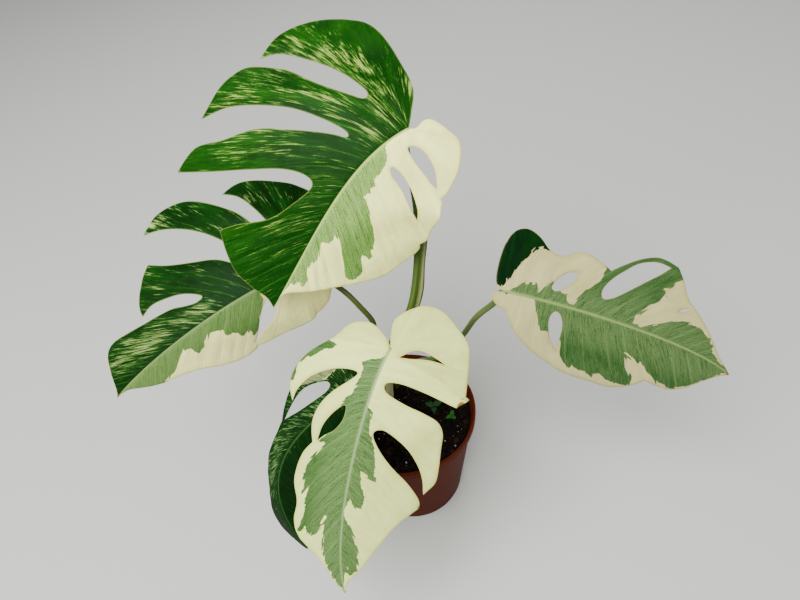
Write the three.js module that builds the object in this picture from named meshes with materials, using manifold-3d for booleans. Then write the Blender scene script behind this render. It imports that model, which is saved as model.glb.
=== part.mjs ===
// Potted variegated ghost monstera: a plastic nursery pot, potting mix, a short main stem,
// five leaf stalks, five split leaf blades and three seedlings.
// Millimetres, +Z up. The origin is the centre of the pot's base, on the surface it stands on.
import * as THREE from "three";
import { mergeVertices } from "three/addons/utils/BufferGeometryUtils.js";
import Module from "manifold-3d";

const wasm = await Module();
wasm.setup();

// Driving dimensions
const GAP = 0.3; // clearance between touching pieces
const POT_HEIGHT = 112;
const RIM_RADIUS = 65;
const RIM_BAND = 11; // height of the thick band under the rim
const BASE_RADIUS = 47;
const POT_WALL = 1.8;
const BAND_STEP = 1.6; // how far the band stands out from the wall below it
const BAND_DRAFT = 0.5; // how much narrower the band is at its foot
const BAND_SLOPE = 1; // height of the slope under the band
const RIM_ROUND = 1.2; // rounding of the rim's edges
const BASE_ROUND = 1.5; // rounding of the outer edge of the base
const FLOOR_ROUND = 2; // rounding between the pot's floor and its wall
const DRAIN_HOLES = 8;
const DRAIN_HOLE_RADIUS = 4;
const DRAIN_CIRCLE_RADIUS = 33;
const POT_SIDES = 72;
const SOIL_TOP = 105;
const SOIL_RELIEF = 1.3;
const SOIL_DIP = 2; // how much lower the soil lies at the wall
const SOIL_SHOULDER = 5; // depth of the plain belt under the soil's uneven top
const SOIL_SIDES = 48;
const SOIL_RINGS = [1, 0.88, 0.74, 0.6, 0.46, 0.32, 0.18, 0.06]; // shares of the top's radius
const MOUNDS = { x: 0.13, y: 0.11, shift: 0.6 }; // long waves of the soil's top, in radians per mm
const RIPPLES = { x: 0.31, y: 0.27, share: 0.6 }; // short waves, and their height against the mounds
const STEM_RADIUS = 6.5;
const STEM_TAPER = 1.2; // how much thinner the main stem is at its top
const STEM_DEPTH = 26; // length of the main stem below the soil's top
const STEM_SCARS = 5.5; // ring scars, left by shed leaves
const SCAR_HEIGHT = 0.5;
const STEM_STEPS = 24;
const STEM_SIDES = 16;
const BLADE_THICKNESS = 0.8;
const MARGIN_STEP = 6.5; // spacing of the points along a blade's margin
const SLIT_STEP = 5.2; // spacing of the points round a closed slit
const RIB_STEP = 8.8; // spacing of the points along the midrib
const LATTICE_STEP = 11; // spacing of the points inside a blade
const LATTICE_ROWS = 10; // on each side of the midrib
const LATTICE_START = -60; // along the midrib, behind every blade
const LATTICE_CLEARANCE = 4.5; // least distance from a lattice point to the margin
const SPLIT_ROUNDS = 8; // how often missing edges are split
const FAR = 5000; // reach of the first triangle, which holds every blade
const HALF_PI = Math.PI / 2;

// Finishes
const COLORS = { stem: 0x5f6a3a, seedling: 0x2c6a1f, pot: 0x7a3220, soil: 0x17120e };
const ROUGHNESS = { leaf: 0.38, stalk: 0.5, stem: 0.7, seedling: 0.6, pot: 0.55, soil: 0.95 };
const finish = (color, roughness) => new THREE.MeshStandardMaterial({ color, roughness, metalness: 0 });

const tuple = (v) => new THREE.Vector3(v[0], v[1], v[2]);

// A cubic rib from four control points.
function ribCurve(points) {
  return new THREE.CubicBezierCurve3(...points.map(tuple));
}

// The leaves. rib: control points of the midrib, from stalk to tip. length: flat length of the midrib.
// face: the way the upper face looks, at the base and at the tip. fold: degrees by which each half is
// raised from flat at the base and at the tip. droop: curl of each half, in radians per metre.
// margin: strokes of [along the midrib, across it], smooth within a stroke and cornered between two.
// Negative across is the left half, seen from above with the tip pointing down. holes: closed slits,
// smooth but for a corner at their first point.
const LEAVES = {
  top: {
    color: 0x2f6a14,
    rib: [[36, 38, 362], [-9, 24, 353], [-39, 12, 305], [-76, 0, 262]],
    length: 158,
    face: [[0.25, -0.72, 0.65], [0.15, -0.8, 0.55]],
    fold: { left: [-8, -12], right: [-18, -18] },
    droop: { left: 3, right: 4 },
    margin: [
      [[0, 0], [-7, -9], [-16, -23], [-18, -44], [-17, -65], [-12, -80], [0, -91], [14, -102],
        [28, -107], [41, -104]],
      [[41, -104], [33, -96], [25, -80], [17, -62], [12, -46], [10, -35], [14, -33], [20, -42],
        [27, -56], [31, -67], [35, -81], [39, -90], [48, -106], [56, -112], [66, -115], [85, -114]],
      [[85, -114], [70, -100], [56, -77], [45, -55], [35, -26], [37, -20], [43, -30], [57, -52],
        [70, -73], [87, -90], [101, -106], [121, -111]],
      [[121, -111], [106, -86], [90, -61], [77, -40], [72, -25], [76, -18], [92, -23], [110, -33],
        [126, -52], [137, -62]],
      [[137, -62], [147, -52], [155, -38], [158, -22], [158, -8], [162, 0]],
      [[162, 0], [151, 1], [147, 5], [141, 20], [133, 36], [125, 54], [115, 70], [103, 77], [90, 83],
        [80, 84], [74, 80]],
      [[74, 80], [64, 83], [50, 78], [30, 74], [8, 68], [-2, 61], [-3, 56]],
      [[-3, 56], [-9, 54], [-18, 46], [-25, 36], [-29, 24], [-25, 14], [-18, 3], [-12, 0], [-5, 2],
        [0, 0]],
    ],
    holes: [
      [[-3, 48], [-6, 36], [-5, 22], [0, 13], [7, 11], [7, 22], [4, 31], [0, 41]],
      [[49, 61], [37, 53], [27, 39], [24, 24], [27, 15], [32, 20], [35, 34], [42, 48]],
    ],
  },
  left: {
    color: 0x245a1c,
    rib: [[-50, 28, 267], [-95, 19, 272], [-187, 1, 224], [-216, -10, 201]],
    length: 180,
    face: [[0.1, -0.66, 0.75], [0, -0.7, 0.7]],
    fold: { left: [-6, -10], right: [-44, -34] },
    droop: { left: 3, right: 6 },
    margin: [
      [[0, 0], [-8, -5], [-20, -19], [-27, -38], [-22, -55], [-8, -68], [8, -78], [24, -87], [33, -89],
        [42, -86]],
      [[42, -86], [33, -76], [26, -60], [20, -42], [15, -25], [20, -22], [27, -36], [35, -58],
        [47, -77], [62, -96], [74, -103], [86, -103], [98, -95]],
      [[98, -95], [84, -87], [68, -71], [54, -50], [44, -28], [50, -25], [62, -37], [78, -47],
        [92, -57], [103, -68]],
      [[103, -68], [112, -57], [120, -45], [122, -34]],
      [[122, -34], [113, -37], [102, -34], [90, -28], [80, -18], [85, -16], [93, -19], [103, -24],
        [122, -28], [136, -31], [152, -34], [163, -30], [170, -18], [176, -6], [182, 0]],
      [[182, 0], [174, 1], [166, 4], [154, 14], [143, 21], [128, 27], [115, 36], [104, 47], [92, 54],
        [82, 55], [77, 52]],
      [[77, 52], [68, 56], [53, 57], [40, 58], [22, 56], [0, 51], [-10, 40], [-14, 25], [-16, 12],
        [-11, 1], [-5, 2], [0, 0]],
    ],
    holes: [[[76, 47], [68, 38], [58, 25], [46, 13], [38, 12], [38, 20], [48, 31], [62, 40]]],
  },
  front: {
    color: 0xdedcb6,
    rib: [[2, -60, 262], [-18, -94, 264], [-65, -118, 137], [-62, -142, 92]],
    length: 200,
    face: [[0, -0.55, 0.85], [-0.1, -0.85, 0.5]],
    fold: { left: [-8, -14], right: [-4, -10] },
    droop: { left: 6, right: 5 },
    margin: [
      [[0, 0], [-8, -8], [-15, -22], [-11, -35], [2, -39], [14, -41], [28, -48], [42, -55], [56, -60],
        [67, -60], [75, -55]],
      [[75, -55], [66, -53], [53, -45], [41, -32], [35, -20], [35, -13], [42, -16], [56, -26],
        [68, -32], [80, -34], [92, -31]],
      [[92, -31], [101, -37], [112, -41], [124, -43], [137, -39], [150, -40], [159, -35], [167, -23],
        [176, -13], [190, -6], [201, 0]],
      [[201, 0], [191, 3], [181, 12], [168, 21], [152, 31], [138, 42], [127, 55]],
      [[127, 55], [118, 52], [106, 42], [92, 26], [79, 13], [71, 9], [68, 16], [76, 32], [89, 44],
        [101, 51], [114, 55]],
      [[114, 55], [104, 61], [92, 60], [76, 57], [62, 54], [52, 47], [48, 36], [46, 24], [41, 9],
        [34, 7], [30, 16], [30, 30], [32, 46], [34, 56]],
      [[34, 56], [24, 60]],
      [[24, 60], [8, 62], [-9, 58], [-24, 52], [-38, 45], [-46, 32], [-51, 17], [-47, 5], [-37, -3],
        [-25, -8], [-12, -5], [0, 0]],
    ],
    holes: [
      [[90, -28], [78, -26], [66, -20], [60, -14], [69, -13], [78, -17], [84, -23]],
      [[-13, 38], [-12, 20], [-5, 12], [5, 8], [0, 14], [-8, 26]],
    ],
  },
  right: {
    color: 0xc9cc9c,
    rib: [[86, -20, 258], [116, -24, 248], [225, -42, 197], [255, -52, 163]],
    length: 196,
    face: [[-0.05, -0.6, 0.8], [0.1, -0.7, 0.7]],
    fold: { left: [-14, -14], right: [-6, -8] },
    droop: { left: 10, right: 3 },
    margin: [
      [[0, 0], [-8, -3], [-2, -11], [8, -13], [16, -20], [30, -30], [46, -39], [62, -46], [80, -52],
        [98, -53], [114, -52], [126, -43], [133, -35]],
      [[133, -35], [144, -36], [157, -35], [168, -28], [178, -16], [188, -7], [198, 0]],
      [[198, 0], [180, 6], [170, 14], [160, 23], [150, 31], [141, 38], [135, 52], [131, 60]],
      [[131, 60], [123, 62], [115, 61], [105, 55], [94, 45], [86, 37]],
      [[86, 37], [76, 43], [65, 45], [52, 38], [42, 40], [33, 48], [22, 52], [10, 48], [0, 38],
        [-4, 26], [-6, 12], [-5, 4], [0, 0]],
    ],
    holes: [
      [[65, 29], [57, 26], [49, 18], [46, 11], [50, 9], [57, 14], [63, 21]],
      [[65, -35], [57, -27], [51, -16], [50, -9], [53, -5], [58, -8], [62, -17]],
      [[126, 57], [121, 58], [114, 57], [104, 51], [95, 41], [87, 31], [82, 21], [83, 14], [90, 17],
        [100, 27], [111, 39], [120, 49]],
      [[135, 24], [138, 29], [144, 31], [142, 27]],
    ],
  },
  low: {
    color: 0x1d4a16,
    rib: [[-22, -30, 190], [-95, -48, 174], [-129, -59, 125], [-101, -84, 53]],
    length: 192,
    face: [[-0.15, -0.7, 0.7], [0.2, -0.9, 0.3]],
    fold: { left: [-28, -56], right: [-8, -10] },
    droop: { left: 5, right: 4 },
    margin: [
      [[0, 0], [-6, -8], [-5, -22], [2, -37], [15, -47], [30, -49], [46, -43], [58, -35], [67, -27],
        [72, -22]],
      [[72, -22], [83, -19], [101, -17], [116, -14], [130, -12], [146, -14], [162, -19], [174, -21],
        [184, -18], [191, -9], [195, 0]],
      [[195, 0], [186, 11], [173, 25], [156, 38], [138, 47]],
      [[138, 47], [124, 42], [110, 32], [100, 24], [94, 26], [98, 35], [106, 43], [114, 51]],
      [[114, 51], [102, 56], [86, 55], [74, 52]],
      [[74, 52], [62, 44], [52, 34], [45, 28], [40, 32], [42, 40], [47, 49], [52, 55]],
      [[52, 55], [38, 50], [22, 39], [8, 31], [-3, 24], [-7, 16], [-6, 8], [-3, 3], [0, 0]],
    ],
    holes: [
      [[69, -21], [62, -24], [52, -28], [42, -30], [32, -27], [24, -22], [23, -17], [28, -14],
        [40, -14], [54, -16], [64, -19]],
    ],
  },
};

// The main stem, from inside the soil to its top.
const STEM_ROUTE = [
  [-17, 3, SOIL_TOP - STEM_DEPTH],
  [-16, 4, 96],
  [-14, 6, 114],
  [-12, 8, 130],
  [-10, 10, 142],
];
const STEM_HOLE_END = [2, 2, 14]; // how the main stem's hole in the soil is carried on above it

// The stalks. route: the points between the main stem and the blade. radii: at the stem, the middle
// and the blade. side: the direction that the stalk's section is measured from, which its wing follows.
const STALKS = {
  top: {
    color: 0x5b7a1e,
    route: [[-9.9, 10.1, 142.5], [-7.7, 12.3, 156], [2, 16, 184], [21, 23, 216], [32, 42, 251],
      [36, 50, 288], [35, 53, 317], [33, 50, 340]],
    radii: [5.4, 2.8, 2.3],
    side: [1, 0, 0],
    wing: { reach: 4.2, from: 0.06, to: 0.66 },
  },
  left: {
    color: 0x6a7429,
    route: [[-13.4, 17.2, 121], [-17, 22, 146], [-15, 20, 185], [-11, 16, 210], [-19, 19, 228],
      [-29, 27, 239], [-41, 36, 245]],
    radii: [3.8, 2.2, 1.6],
    side: [0, 1, 0],
    wing: { reach: 1.6, from: 0, to: 0.3 },
  },
  front: {
    color: 0xa9a878,
    route: [[-14, -4.6, 112], [-10, -14, 138], [-7, -26, 168], [-5, -36, 196], [-1, -46, 225],
      [1, -52, 245]],
    radii: [4, 2.9, 2.2],
    side: [1, 0, 0],
    wing: { reach: 1.6, from: 0, to: 0.3 },
  },
  right: {
    color: 0x7d8c3a,
    route: [[-3.6, 14, 130], [9, 14, 152], [40, 6, 170], [57, 2, 193], [68, -6, 221], [80, -12, 239],
      [86, -14, 248]],
    radii: [3.8, 2.3, 1.9],
    side: [0, 1, 0],
    wing: { reach: 1.6, from: 0, to: 0.3 },
  },
  low: {
    color: 0x5e6d24,
    route: [[-23.4, -0.8, 106], [-25, -6, 126], [-23, -13, 146], [-22, -20, 163], [-22, -25, 176]],
    radii: [3.8, 2.4, 1.9],
    side: [0, 1, 0],
    wing: { reach: 1.6, from: 0, to: 0.3 },
  },
};
const WING_WIDTH = 0.24; // radians of the stalk's section that the wing spreads over
const WING_RAMP = 0.06; // share of the stalk over which the wing rises and falls
const STALK_SIDES = 14;
const STALK_STEP = 8; // spacing of the stalk's rings
const SHEATH_SHARE = 0.35; // how far up the stalk is thickened at its foot
const SHEATH_POWER = 1.5;
const KNEE = { at: 0.93, reach: 0.08, swell: 0.5 }; // the swelling below the blade
const TIP_SHARE = 0.97; // where the stalk starts to thin to its end
const SEAT_LEAD = 9; // length of the straight end under the blade
const SEAT_GAP = 0.45; // clearance of the stalk's end from the steeper half of the blade
const SEAT_ALONG = 3; // where the stalk meets the midrib

// The seedlings: place in the soil, height, leaf length and heading in degrees.
const SEEDLINGS = [
  { at: [28, -2], height: 9, leaf: 9, heading: 20 },
  { at: [42, -14], height: 7, leaf: 6, heading: 70 },
  { at: [-8, 30], height: 8, leaf: 6, heading: 150 },
];
const SEEDLING_RADIUS = 0.7;
const SEEDLING_DEPTH = 3;
const SEEDLING_TURNS = [0, 130, 245]; // headings of a seedling's leaves, in degrees from the first
const SEEDLING_TILT = -18; // degrees
// A seedling's leaf: length over half width, half thickness, how far it reaches over the stem, and
// the degrees of heading in which the next leaf sits 1 mm lower.
const LEAFLET = { slimness: 3.2, half: 0.5, overlap: 0.5, drop: 180 };
const SEEDLING_HOLE_ABOVE = 2.7; // how far a seedling's hole reaches above the soil

// Solid helpers

function plain(geometry) {
  const copy = geometry.clone();
  copy.deleteAttribute("normal");
  copy.deleteAttribute("uv");
  return mergeVertices(copy, 1e-4);
}

function toSolid(geometry) {
  const merged = plain(geometry);
  return new wasm.Manifold(new wasm.Mesh({
    numProp: 3,
    vertProperties: merged.attributes.position.array,
    triVerts: new Uint32Array(merged.index.array),
  }));
}

function toGeometry(solid) {
  const mesh = solid.getMesh();
  const geometry = new THREE.BufferGeometry();
  geometry.setAttribute("position", new THREE.BufferAttribute(mesh.vertProperties, 3));
  geometry.setIndex(new THREE.BufferAttribute(mesh.triVerts, 1));
  return geometry;
}

// A closed surface from its points and its triangles.
function surface(points, triangles) {
  const geometry = new THREE.BufferGeometry();
  const values = points.flatMap((p) => p.toArray());
  geometry.setAttribute("position", new THREE.Float32BufferAttribute(values, 3));
  geometry.setIndex(triangles);
  return geometry;
}

// A solid through rings of equally many points, each ring turning the same way as seen along the loft.
function loft(rings) {
  const sides = rings[0].length;
  const middle = (ring) => ring.reduce((sum, p) => sum.add(p), new THREE.Vector3()).divideScalar(sides);
  const points = [...rings.flat(), middle(rings[0]), middle(rings[rings.length - 1])];
  const first = points.length - 2;
  const last = points.length - 1;
  const triangles = [];
  for (let side = 0; side < sides; side++) {
    const next = (side + 1) % sides;
    for (let ring = 0; ring < rings.length - 1; ring++) {
      const low = ring * sides;
      const high = low + sides;
      triangles.push(low + side, low + next, high + next);
      triangles.push(low + side, high + next, high + side);
    }
    const top = (rings.length - 1) * sides;
    triangles.push(first, next, side);
    triangles.push(last, top + side, top + next);
  }
  return surface(points, triangles);
}

// Rings of a section swept along a curve. radiusAt gives the section's radius at a share of the length
// and an angle, which starts at the direction side.
function sweep(curve, steps, sides, side, radiusAt) {
  const rings = [];
  for (let step = 0; step <= steps; step++) {
    const share = step / steps;
    const centre = curve.getPoint(share);
    const along = curve.getTangent(share);
    const across = side.clone().addScaledVector(along, -side.dot(along)).normalize();
    const up = along.clone().cross(across);
    const ring = [];
    for (let corner = 0; corner < sides; corner++) {
      const angle = (corner / sides) * 2 * Math.PI;
      const radius = radiusAt(share, angle);
      ring.push(centre.clone().addScaledVector(across, radius * Math.cos(angle))
        .addScaledVector(up, radius * Math.sin(angle)));
    }
    rings.push(ring);
  }
  return loft(rings);
}

const mix = (a, b, share) => a + (b - a) * share;
const smooth = (points) => new THREE.CatmullRomCurve3(points, false, "catmullrom", 0.5);

// Pot

// The radius of the pot's outside below the rim band, at a height.
const wallRadius = (height) => mix(BASE_RADIUS, RIM_RADIUS - BAND_STEP, height / POT_HEIGHT);

function potSolid() {
  const bandFoot = POT_HEIGHT - RIM_BAND;
  const bandTop = bandFoot + BAND_SLOPE;
  const profile = [
    [0, 0],
    [BASE_RADIUS - BASE_ROUND, 0],
    [BASE_RADIUS, BASE_ROUND],
    [wallRadius(bandFoot), bandFoot],
    [RIM_RADIUS - BAND_DRAFT, bandTop],
    [RIM_RADIUS, POT_HEIGHT - RIM_ROUND],
    [RIM_RADIUS - RIM_ROUND / 2, POT_HEIGHT],
    [RIM_RADIUS - POT_WALL + RIM_ROUND / 2, POT_HEIGHT],
    [RIM_RADIUS - POT_WALL, POT_HEIGHT - RIM_ROUND],
    [wallRadius(bandTop) - POT_WALL, bandTop],
    [wallRadius(POT_WALL + FLOOR_ROUND) - POT_WALL, POT_WALL + FLOOR_ROUND],
    [BASE_RADIUS - POT_WALL - FLOOR_ROUND, POT_WALL],
    [0, POT_WALL],
  ];
  const turned = new THREE.LatheGeometry(profile.map(([r, z]) => new THREE.Vector2(r, z)), POT_SIDES);
  let pot = toSolid(turned.rotateX(HALF_PI));
  for (let hole = 0; hole < DRAIN_HOLES; hole++) {
    const angle = (hole / DRAIN_HOLES) * 2 * Math.PI;
    const drill = new THREE.CylinderGeometry(DRAIN_HOLE_RADIUS, DRAIN_HOLE_RADIUS, 4 * POT_WALL, 16)
      .rotateX(HALF_PI)
      .translate(DRAIN_CIRCLE_RADIUS * Math.cos(angle), DRAIN_CIRCLE_RADIUS * Math.sin(angle), 0);
    pot = pot.subtract(toSolid(drill));
  }
  return pot;
}

// Soil

// Height of the potting mix: low mounds, a little lower at the pot's wall.
function soilHeight(x, y) {
  const edge = Math.min(1, Math.hypot(x, y) / (RIM_RADIUS - POT_WALL));
  const mounds = Math.sin(MOUNDS.x * x + MOUNDS.shift) * Math.cos(MOUNDS.y * y);
  const ripples = RIPPLES.share * Math.sin(RIPPLES.x * x + RIPPLES.y * y);
  return SOIL_TOP + SOIL_RELIEF * (mounds + ripples) - SOIL_DIP * edge ** 4;
}

function soilSolid() {
  const floor = POT_WALL + GAP;
  const inside = (height) => wallRadius(height) - POT_WALL - GAP;
  const ring = (radius, heightAt) => Array.from({ length: SOIL_SIDES }, (_, i) => {
    const angle = (i / SOIL_SIDES) * 2 * Math.PI;
    const x = radius * Math.cos(angle);
    const y = radius * Math.sin(angle);
    return new THREE.Vector3(x, y, heightAt(x, y));
  });
  const level = (height) => () => height;
  const shoulder = SOIL_TOP - SOIL_SHOULDER;
  const brim = inside(shoulder);
  const foot = floor + FLOOR_ROUND;
  const rings = [
    ring(BASE_RADIUS / 2, level(floor)),
    ring(inside(0) - FLOOR_ROUND, level(floor)),
    ring(inside(foot) - GAP, level(foot)),
    ring(inside(SOIL_TOP / 2), level(SOIL_TOP / 2)),
    ring(brim, level(shoulder)),
  ];
  for (const share of SOIL_RINGS) {
    rings.push(ring(brim * share, soilHeight));
  }
  let soil = toSolid(loft(rings));
  soil = soil.subtract(toSolid(stemGeometry(GAP)));
  for (const seedling of SEEDLINGS) {
    const [x, y] = seedling.at;
    const radius = SEEDLING_RADIUS + GAP;
    const depth = SEEDLING_DEPTH + GAP;
    const bore = new THREE.CylinderGeometry(radius, radius, depth + SEEDLING_HOLE_ABOVE, 10)
      .rotateX(HALF_PI)
      .translate(x, y, soilHeight(x, y) + (SEEDLING_HOLE_ABOVE - depth) / 2);
    soil = soil.subtract(toSolid(bore));
  }
  return soil;
}

// Main stem, with its ring scars. extra widens it, which gives its hole in the soil.
function stemGeometry(extra) {
  const route = STEM_ROUTE.map(tuple);
  if (extra > 0) {
    route[0].z -= extra;
    route.push(route[route.length - 1].clone().add(tuple(STEM_HOLE_END)));
  }
  const radiusAt = (share) => {
    if (extra > 0) {
      return STEM_RADIUS + extra + SCAR_HEIGHT;
    }
    const scar = SCAR_HEIGHT * Math.max(0, Math.cos(share * STEM_SCARS * 2 * Math.PI)) ** 6;
    return STEM_RADIUS + scar - STEM_TAPER * share;
  };
  return sweep(smooth(route), STEM_STEPS, STEM_SIDES, new THREE.Vector3(1, 0, 0), radiusAt);
}

// Blades

// The blade's middle surface: a bent and folded sheet over the midrib.
class BladeSurface {
  constructor(leaf) {
    this.leaf = leaf;
    this.rib = ribCurve(leaf.rib);
    this.faceBase = tuple(leaf.face[0]).normalize();
    this.faceTip = tuple(leaf.face[1]).normalize();
  }

  frame(x) {
    const share = THREE.MathUtils.clamp(x / this.leaf.length, 0, 1);
    const along = this.rib.getTangent(share);
    const centre = this.rib.getPoint(share).addScaledVector(along, x - share * this.leaf.length);
    const face = this.faceBase.clone().lerp(this.faceTip, share);
    const up = face.addScaledVector(along, -face.dot(along)).normalize();
    const across = up.clone().cross(along);
    return { share, centre, along, up, across };
  }

  // The point over flat coordinates x, along the midrib, and y, across it.
  point(x, y) {
    const { share, centre, up, across } = this.frame(x);
    const half = y < 0 ? "left" : "right";
    const fold = this.leaf.fold[half];
    const start = THREE.MathUtils.degToRad(mix(fold[0], fold[1], share));
    const curl = this.leaf.droop[half] / 1000;
    const end = start - curl * Math.abs(y);
    const out = (Math.sin(start) - Math.sin(end)) / curl;
    const rise = (Math.cos(end) - Math.cos(start)) / curl;
    return centre.addScaledVector(across, Math.sign(y) * out).addScaledVector(up, rise);
  }

  // The way that the upper face looks there.
  normal(x, y) {
    const step = 0.5;
    if (Math.abs(y) < step) {
      return this.frame(x).up;
    }
    const along = this.point(x + step, y).sub(this.point(x - step, y));
    const across = this.point(x, y + step / 2).sub(this.point(x, y - step / 2));
    return along.cross(across).normalize();
  }
}

// The flat outline of a blade: rings of [x, y], the margin anticlockwise and then the holes.
function bladeRings(leaf) {
  const strokePoints = (stroke, step) => {
    const curve = new THREE.SplineCurve(stroke.map(([x, y]) => new THREE.Vector2(x, y)));
    const pieces = Math.max(1, Math.round(curve.getLength() / step));
    return curve.getSpacedPoints(pieces).slice(0, -1).map((p) => [p.x, p.y]);
  };
  const margin = leaf.margin.flatMap((stroke) => strokePoints(stroke, MARGIN_STEP));
  const holes = leaf.holes.map((hole) => strokePoints([...hole, hole[0]], SLIT_STEP));
  return [margin, ...holes];
}

const distance = (a, b) => Math.hypot(a[0] - b[0], a[1] - b[1]);

function inside(rings, [x, y]) {
  let odd = false;
  for (const ring of rings) {
    ring.forEach(([ax, ay], i) => {
      const [bx, by] = ring[(i + 1) % ring.length];
      if ((ay > y) !== (by > y) && x < ax + ((bx - ax) * (y - ay)) / (by - ay)) {
        odd = !odd;
      }
    });
  }
  return odd;
}

// Delaunay triangles of points, by adding them one at a time.
function delaunay(points) {
  const all = [...points, [-FAR, -FAR], [FAR, -FAR], [0, FAR]];
  const count = points.length;
  const circle = (triangle) => {
    const [a, b, c] = triangle.map((i) => all[i]);
    const d = 2 * (a[0] * (b[1] - c[1]) + b[0] * (c[1] - a[1]) + c[0] * (a[1] - b[1]));
    const squares = [a, b, c].map(([x, y]) => x * x + y * y);
    const [sa, sb, sc] = squares;
    const x = (sa * (b[1] - c[1]) + sb * (c[1] - a[1]) + sc * (a[1] - b[1])) / d;
    const y = (sa * (c[0] - b[0]) + sb * (a[0] - c[0]) + sc * (b[0] - a[0])) / d;
    return { triangle, x, y, radius: distance([x, y], a) };
  };
  let cells = [circle([count, count + 1, count + 2])];
  for (let i = 0; i < count; i++) {
    const hit = (cell) => distance([cell.x, cell.y], all[i]) < cell.radius - 1e-9;
    const edges = new Map();
    for (const { triangle: [a, b, c] } of cells.filter(hit)) {
      for (const [from, to] of [[a, b], [b, c], [c, a]]) {
        if (!edges.delete(to + "," + from)) {
          edges.set(from + "," + to, [from, to]);
        }
      }
    }
    cells = cells.filter((cell) => !hit(cell));
    for (const [from, to] of edges.values()) {
      cells.push(circle([from, to, i]));
    }
  }
  return cells.map((cell) => cell.triangle).filter((triangle) => triangle.every((i) => i < count));
}

// Splits the rings' edges, and the midrib's, until the triangles of all the points hold every one.
function bladeTriangles(leaf) {
  let rings = bladeRings(leaf);
  let rib = [];
  for (let x = RIB_STEP; x < leaf.length - 2; x += RIB_STEP) {
    rib.push([x, 0]);
  }
  const clear = (p, least) => rings.every((ring) => ring.every((q) => distance(p, q) > least));
  rib = rib.filter((p) => clear(p, LATTICE_CLEARANCE / 2));
  const lattice = [];
  const rowStep = (LATTICE_STEP * Math.sqrt(3)) / 2;
  for (let row = -LATTICE_ROWS; row <= LATTICE_ROWS; row++) {
    for (let x = LATTICE_START; x < leaf.length; x += LATTICE_STEP) {
      const p = [x + (row % 2) * (LATTICE_STEP / 2), row * rowStep];
      if (row !== 0 && inside(rings, p) && clear(p, LATTICE_CLEARANCE)) {
        lattice.push(p);
      }
    }
  }
  let crossings = [];
  for (let round = 0; round < SPLIT_ROUNDS; round++) {
    const points = [...rings.flat(), ...rib, ...lattice];
    const triangles = delaunay(points);
    const edges = new Set();
    for (const [a, b, c] of triangles) {
      for (const [from, to] of [[a, b], [b, c], [c, a]]) {
        edges.add(from + "," + to);
        edges.add(to + "," + from);
      }
    }
    let start = 0;
    const missing = [];
    rings = rings.map((ring) => {
      const split = ring.flatMap((p, i) => {
        const next = (i + 1) % ring.length;
        if (edges.has(start + i + "," + (start + next))) {
          return [p];
        }
        missing.push(p.map(Math.round));
        return [p, [(p[0] + ring[next][0]) / 2, (p[1] + ring[next][1]) / 2]];
      });
      start += ring.length;
      return split;
    });
    if (missing.length === 0) {
      const kept = triangles.filter((triangle) => {
        const corners = triangle.map((i) => points[i]);
        const centre = [0, 1].map((k) => (corners[0][k] + corners[1][k] + corners[2][k]) / 3);
        return inside(rings, centre);
      });
      return { points, rings, triangles: kept };
    }
    crossings = missing;
  }
  throw new Error("the blade's outline crosses itself near " + crossings.join(" and "));
}

// A blade as a thin solid: both faces split alike, with a wall round every ring.
function bladeGeometry(leaf) {
  const sheet = new BladeSurface(leaf);
  const { points, rings, triangles } = bladeTriangles(leaf);
  const face = (offset) => points.map(([x, y]) => (
    sheet.point(x, y).addScaledVector(sheet.normal(x, y), offset)
  ));
  const count = points.length;
  const turned = triangles.map(([a, b, c]) => {
    const [p, q, r] = [points[a], points[b], points[c]];
    const area = (q[0] - p[0]) * (r[1] - p[1]) - (r[0] - p[0]) * (q[1] - p[1]);
    return area > 0 ? [a, b, c] : [a, c, b];
  });
  const faces = turned.flatMap(([a, b, c]) => [a, b, c, a + count, c + count, b + count]);
  const edges = new Set(turned.flatMap(([a, b, c]) => [a + "," + b, b + "," + c, c + "," + a]));
  let start = 0;
  for (const ring of rings) {
    ring.forEach((_, i) => {
      const here = start + i;
      const next = start + ((i + 1) % ring.length);
      const [from, to] = edges.has(here + "," + next) ? [here, next] : [next, here];
      faces.push(from, from + count, to + count, from, to + count, to);
    });
    start += ring.length;
  }
  return surface([...face(BLADE_THICKNESS / 2), ...face(-BLADE_THICKNESS / 2)], faces);
}

// Stalks

// The stalk's route: from beside the main stem to just under the blade's midrib.
function stalkCurve(name) {
  const leaf = LEAVES[name];
  const { centre, up } = new BladeSurface(leaf).frame(SEAT_ALONG);
  const slope = THREE.MathUtils.degToRad(-Math.min(leaf.fold.left[0], leaf.fold.right[0]));
  const radius = STALKS[name].radii[2];
  const depth = (BLADE_THICKNESS / 2 + SEAT_GAP + radius * Math.sin(slope)) / Math.cos(slope);
  const seat = centre.clone().addScaledVector(up, -depth);
  const lead = seat.clone().addScaledVector(up, -SEAT_LEAD);
  return smooth([...STALKS[name].route.map(tuple), lead, seat]);
}

function stalkGeometry(name) {
  const { radii, side, wing } = STALKS[name];
  const [foot, middle, top] = radii;
  const curve = stalkCurve(name);
  const steps = Math.round(curve.getLength() / STALK_STEP);
  const radiusAt = (share, angle) => {
    const sheath = Math.max(0, 1 - share / SHEATH_SHARE) ** SHEATH_POWER;
    const knee = Math.max(0, 1 - Math.abs(share - KNEE.at) / KNEE.reach) * KNEE.swell;
    const stalk = middle + (foot - middle) * sheath + knee;
    const thinning = Math.max(0, share - TIP_SHARE) / (1 - TIP_SHARE);
    const tip = mix(stalk, top, thinning);
    const spread = Math.min(angle, 2 * Math.PI - angle) / WING_WIDTH;
    const rise = THREE.MathUtils.smoothstep(share, wing.from - 0.01, wing.from + WING_RAMP);
    const fall = 1 - THREE.MathUtils.smoothstep(share, wing.to - WING_RAMP, wing.to);
    return tip + wing.reach * rise * fall * Math.exp(-spread * spread);
  };
  return sweep(curve, steps, STALK_SIDES, tuple(side), radiusAt);
}

// Seedlings

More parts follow.
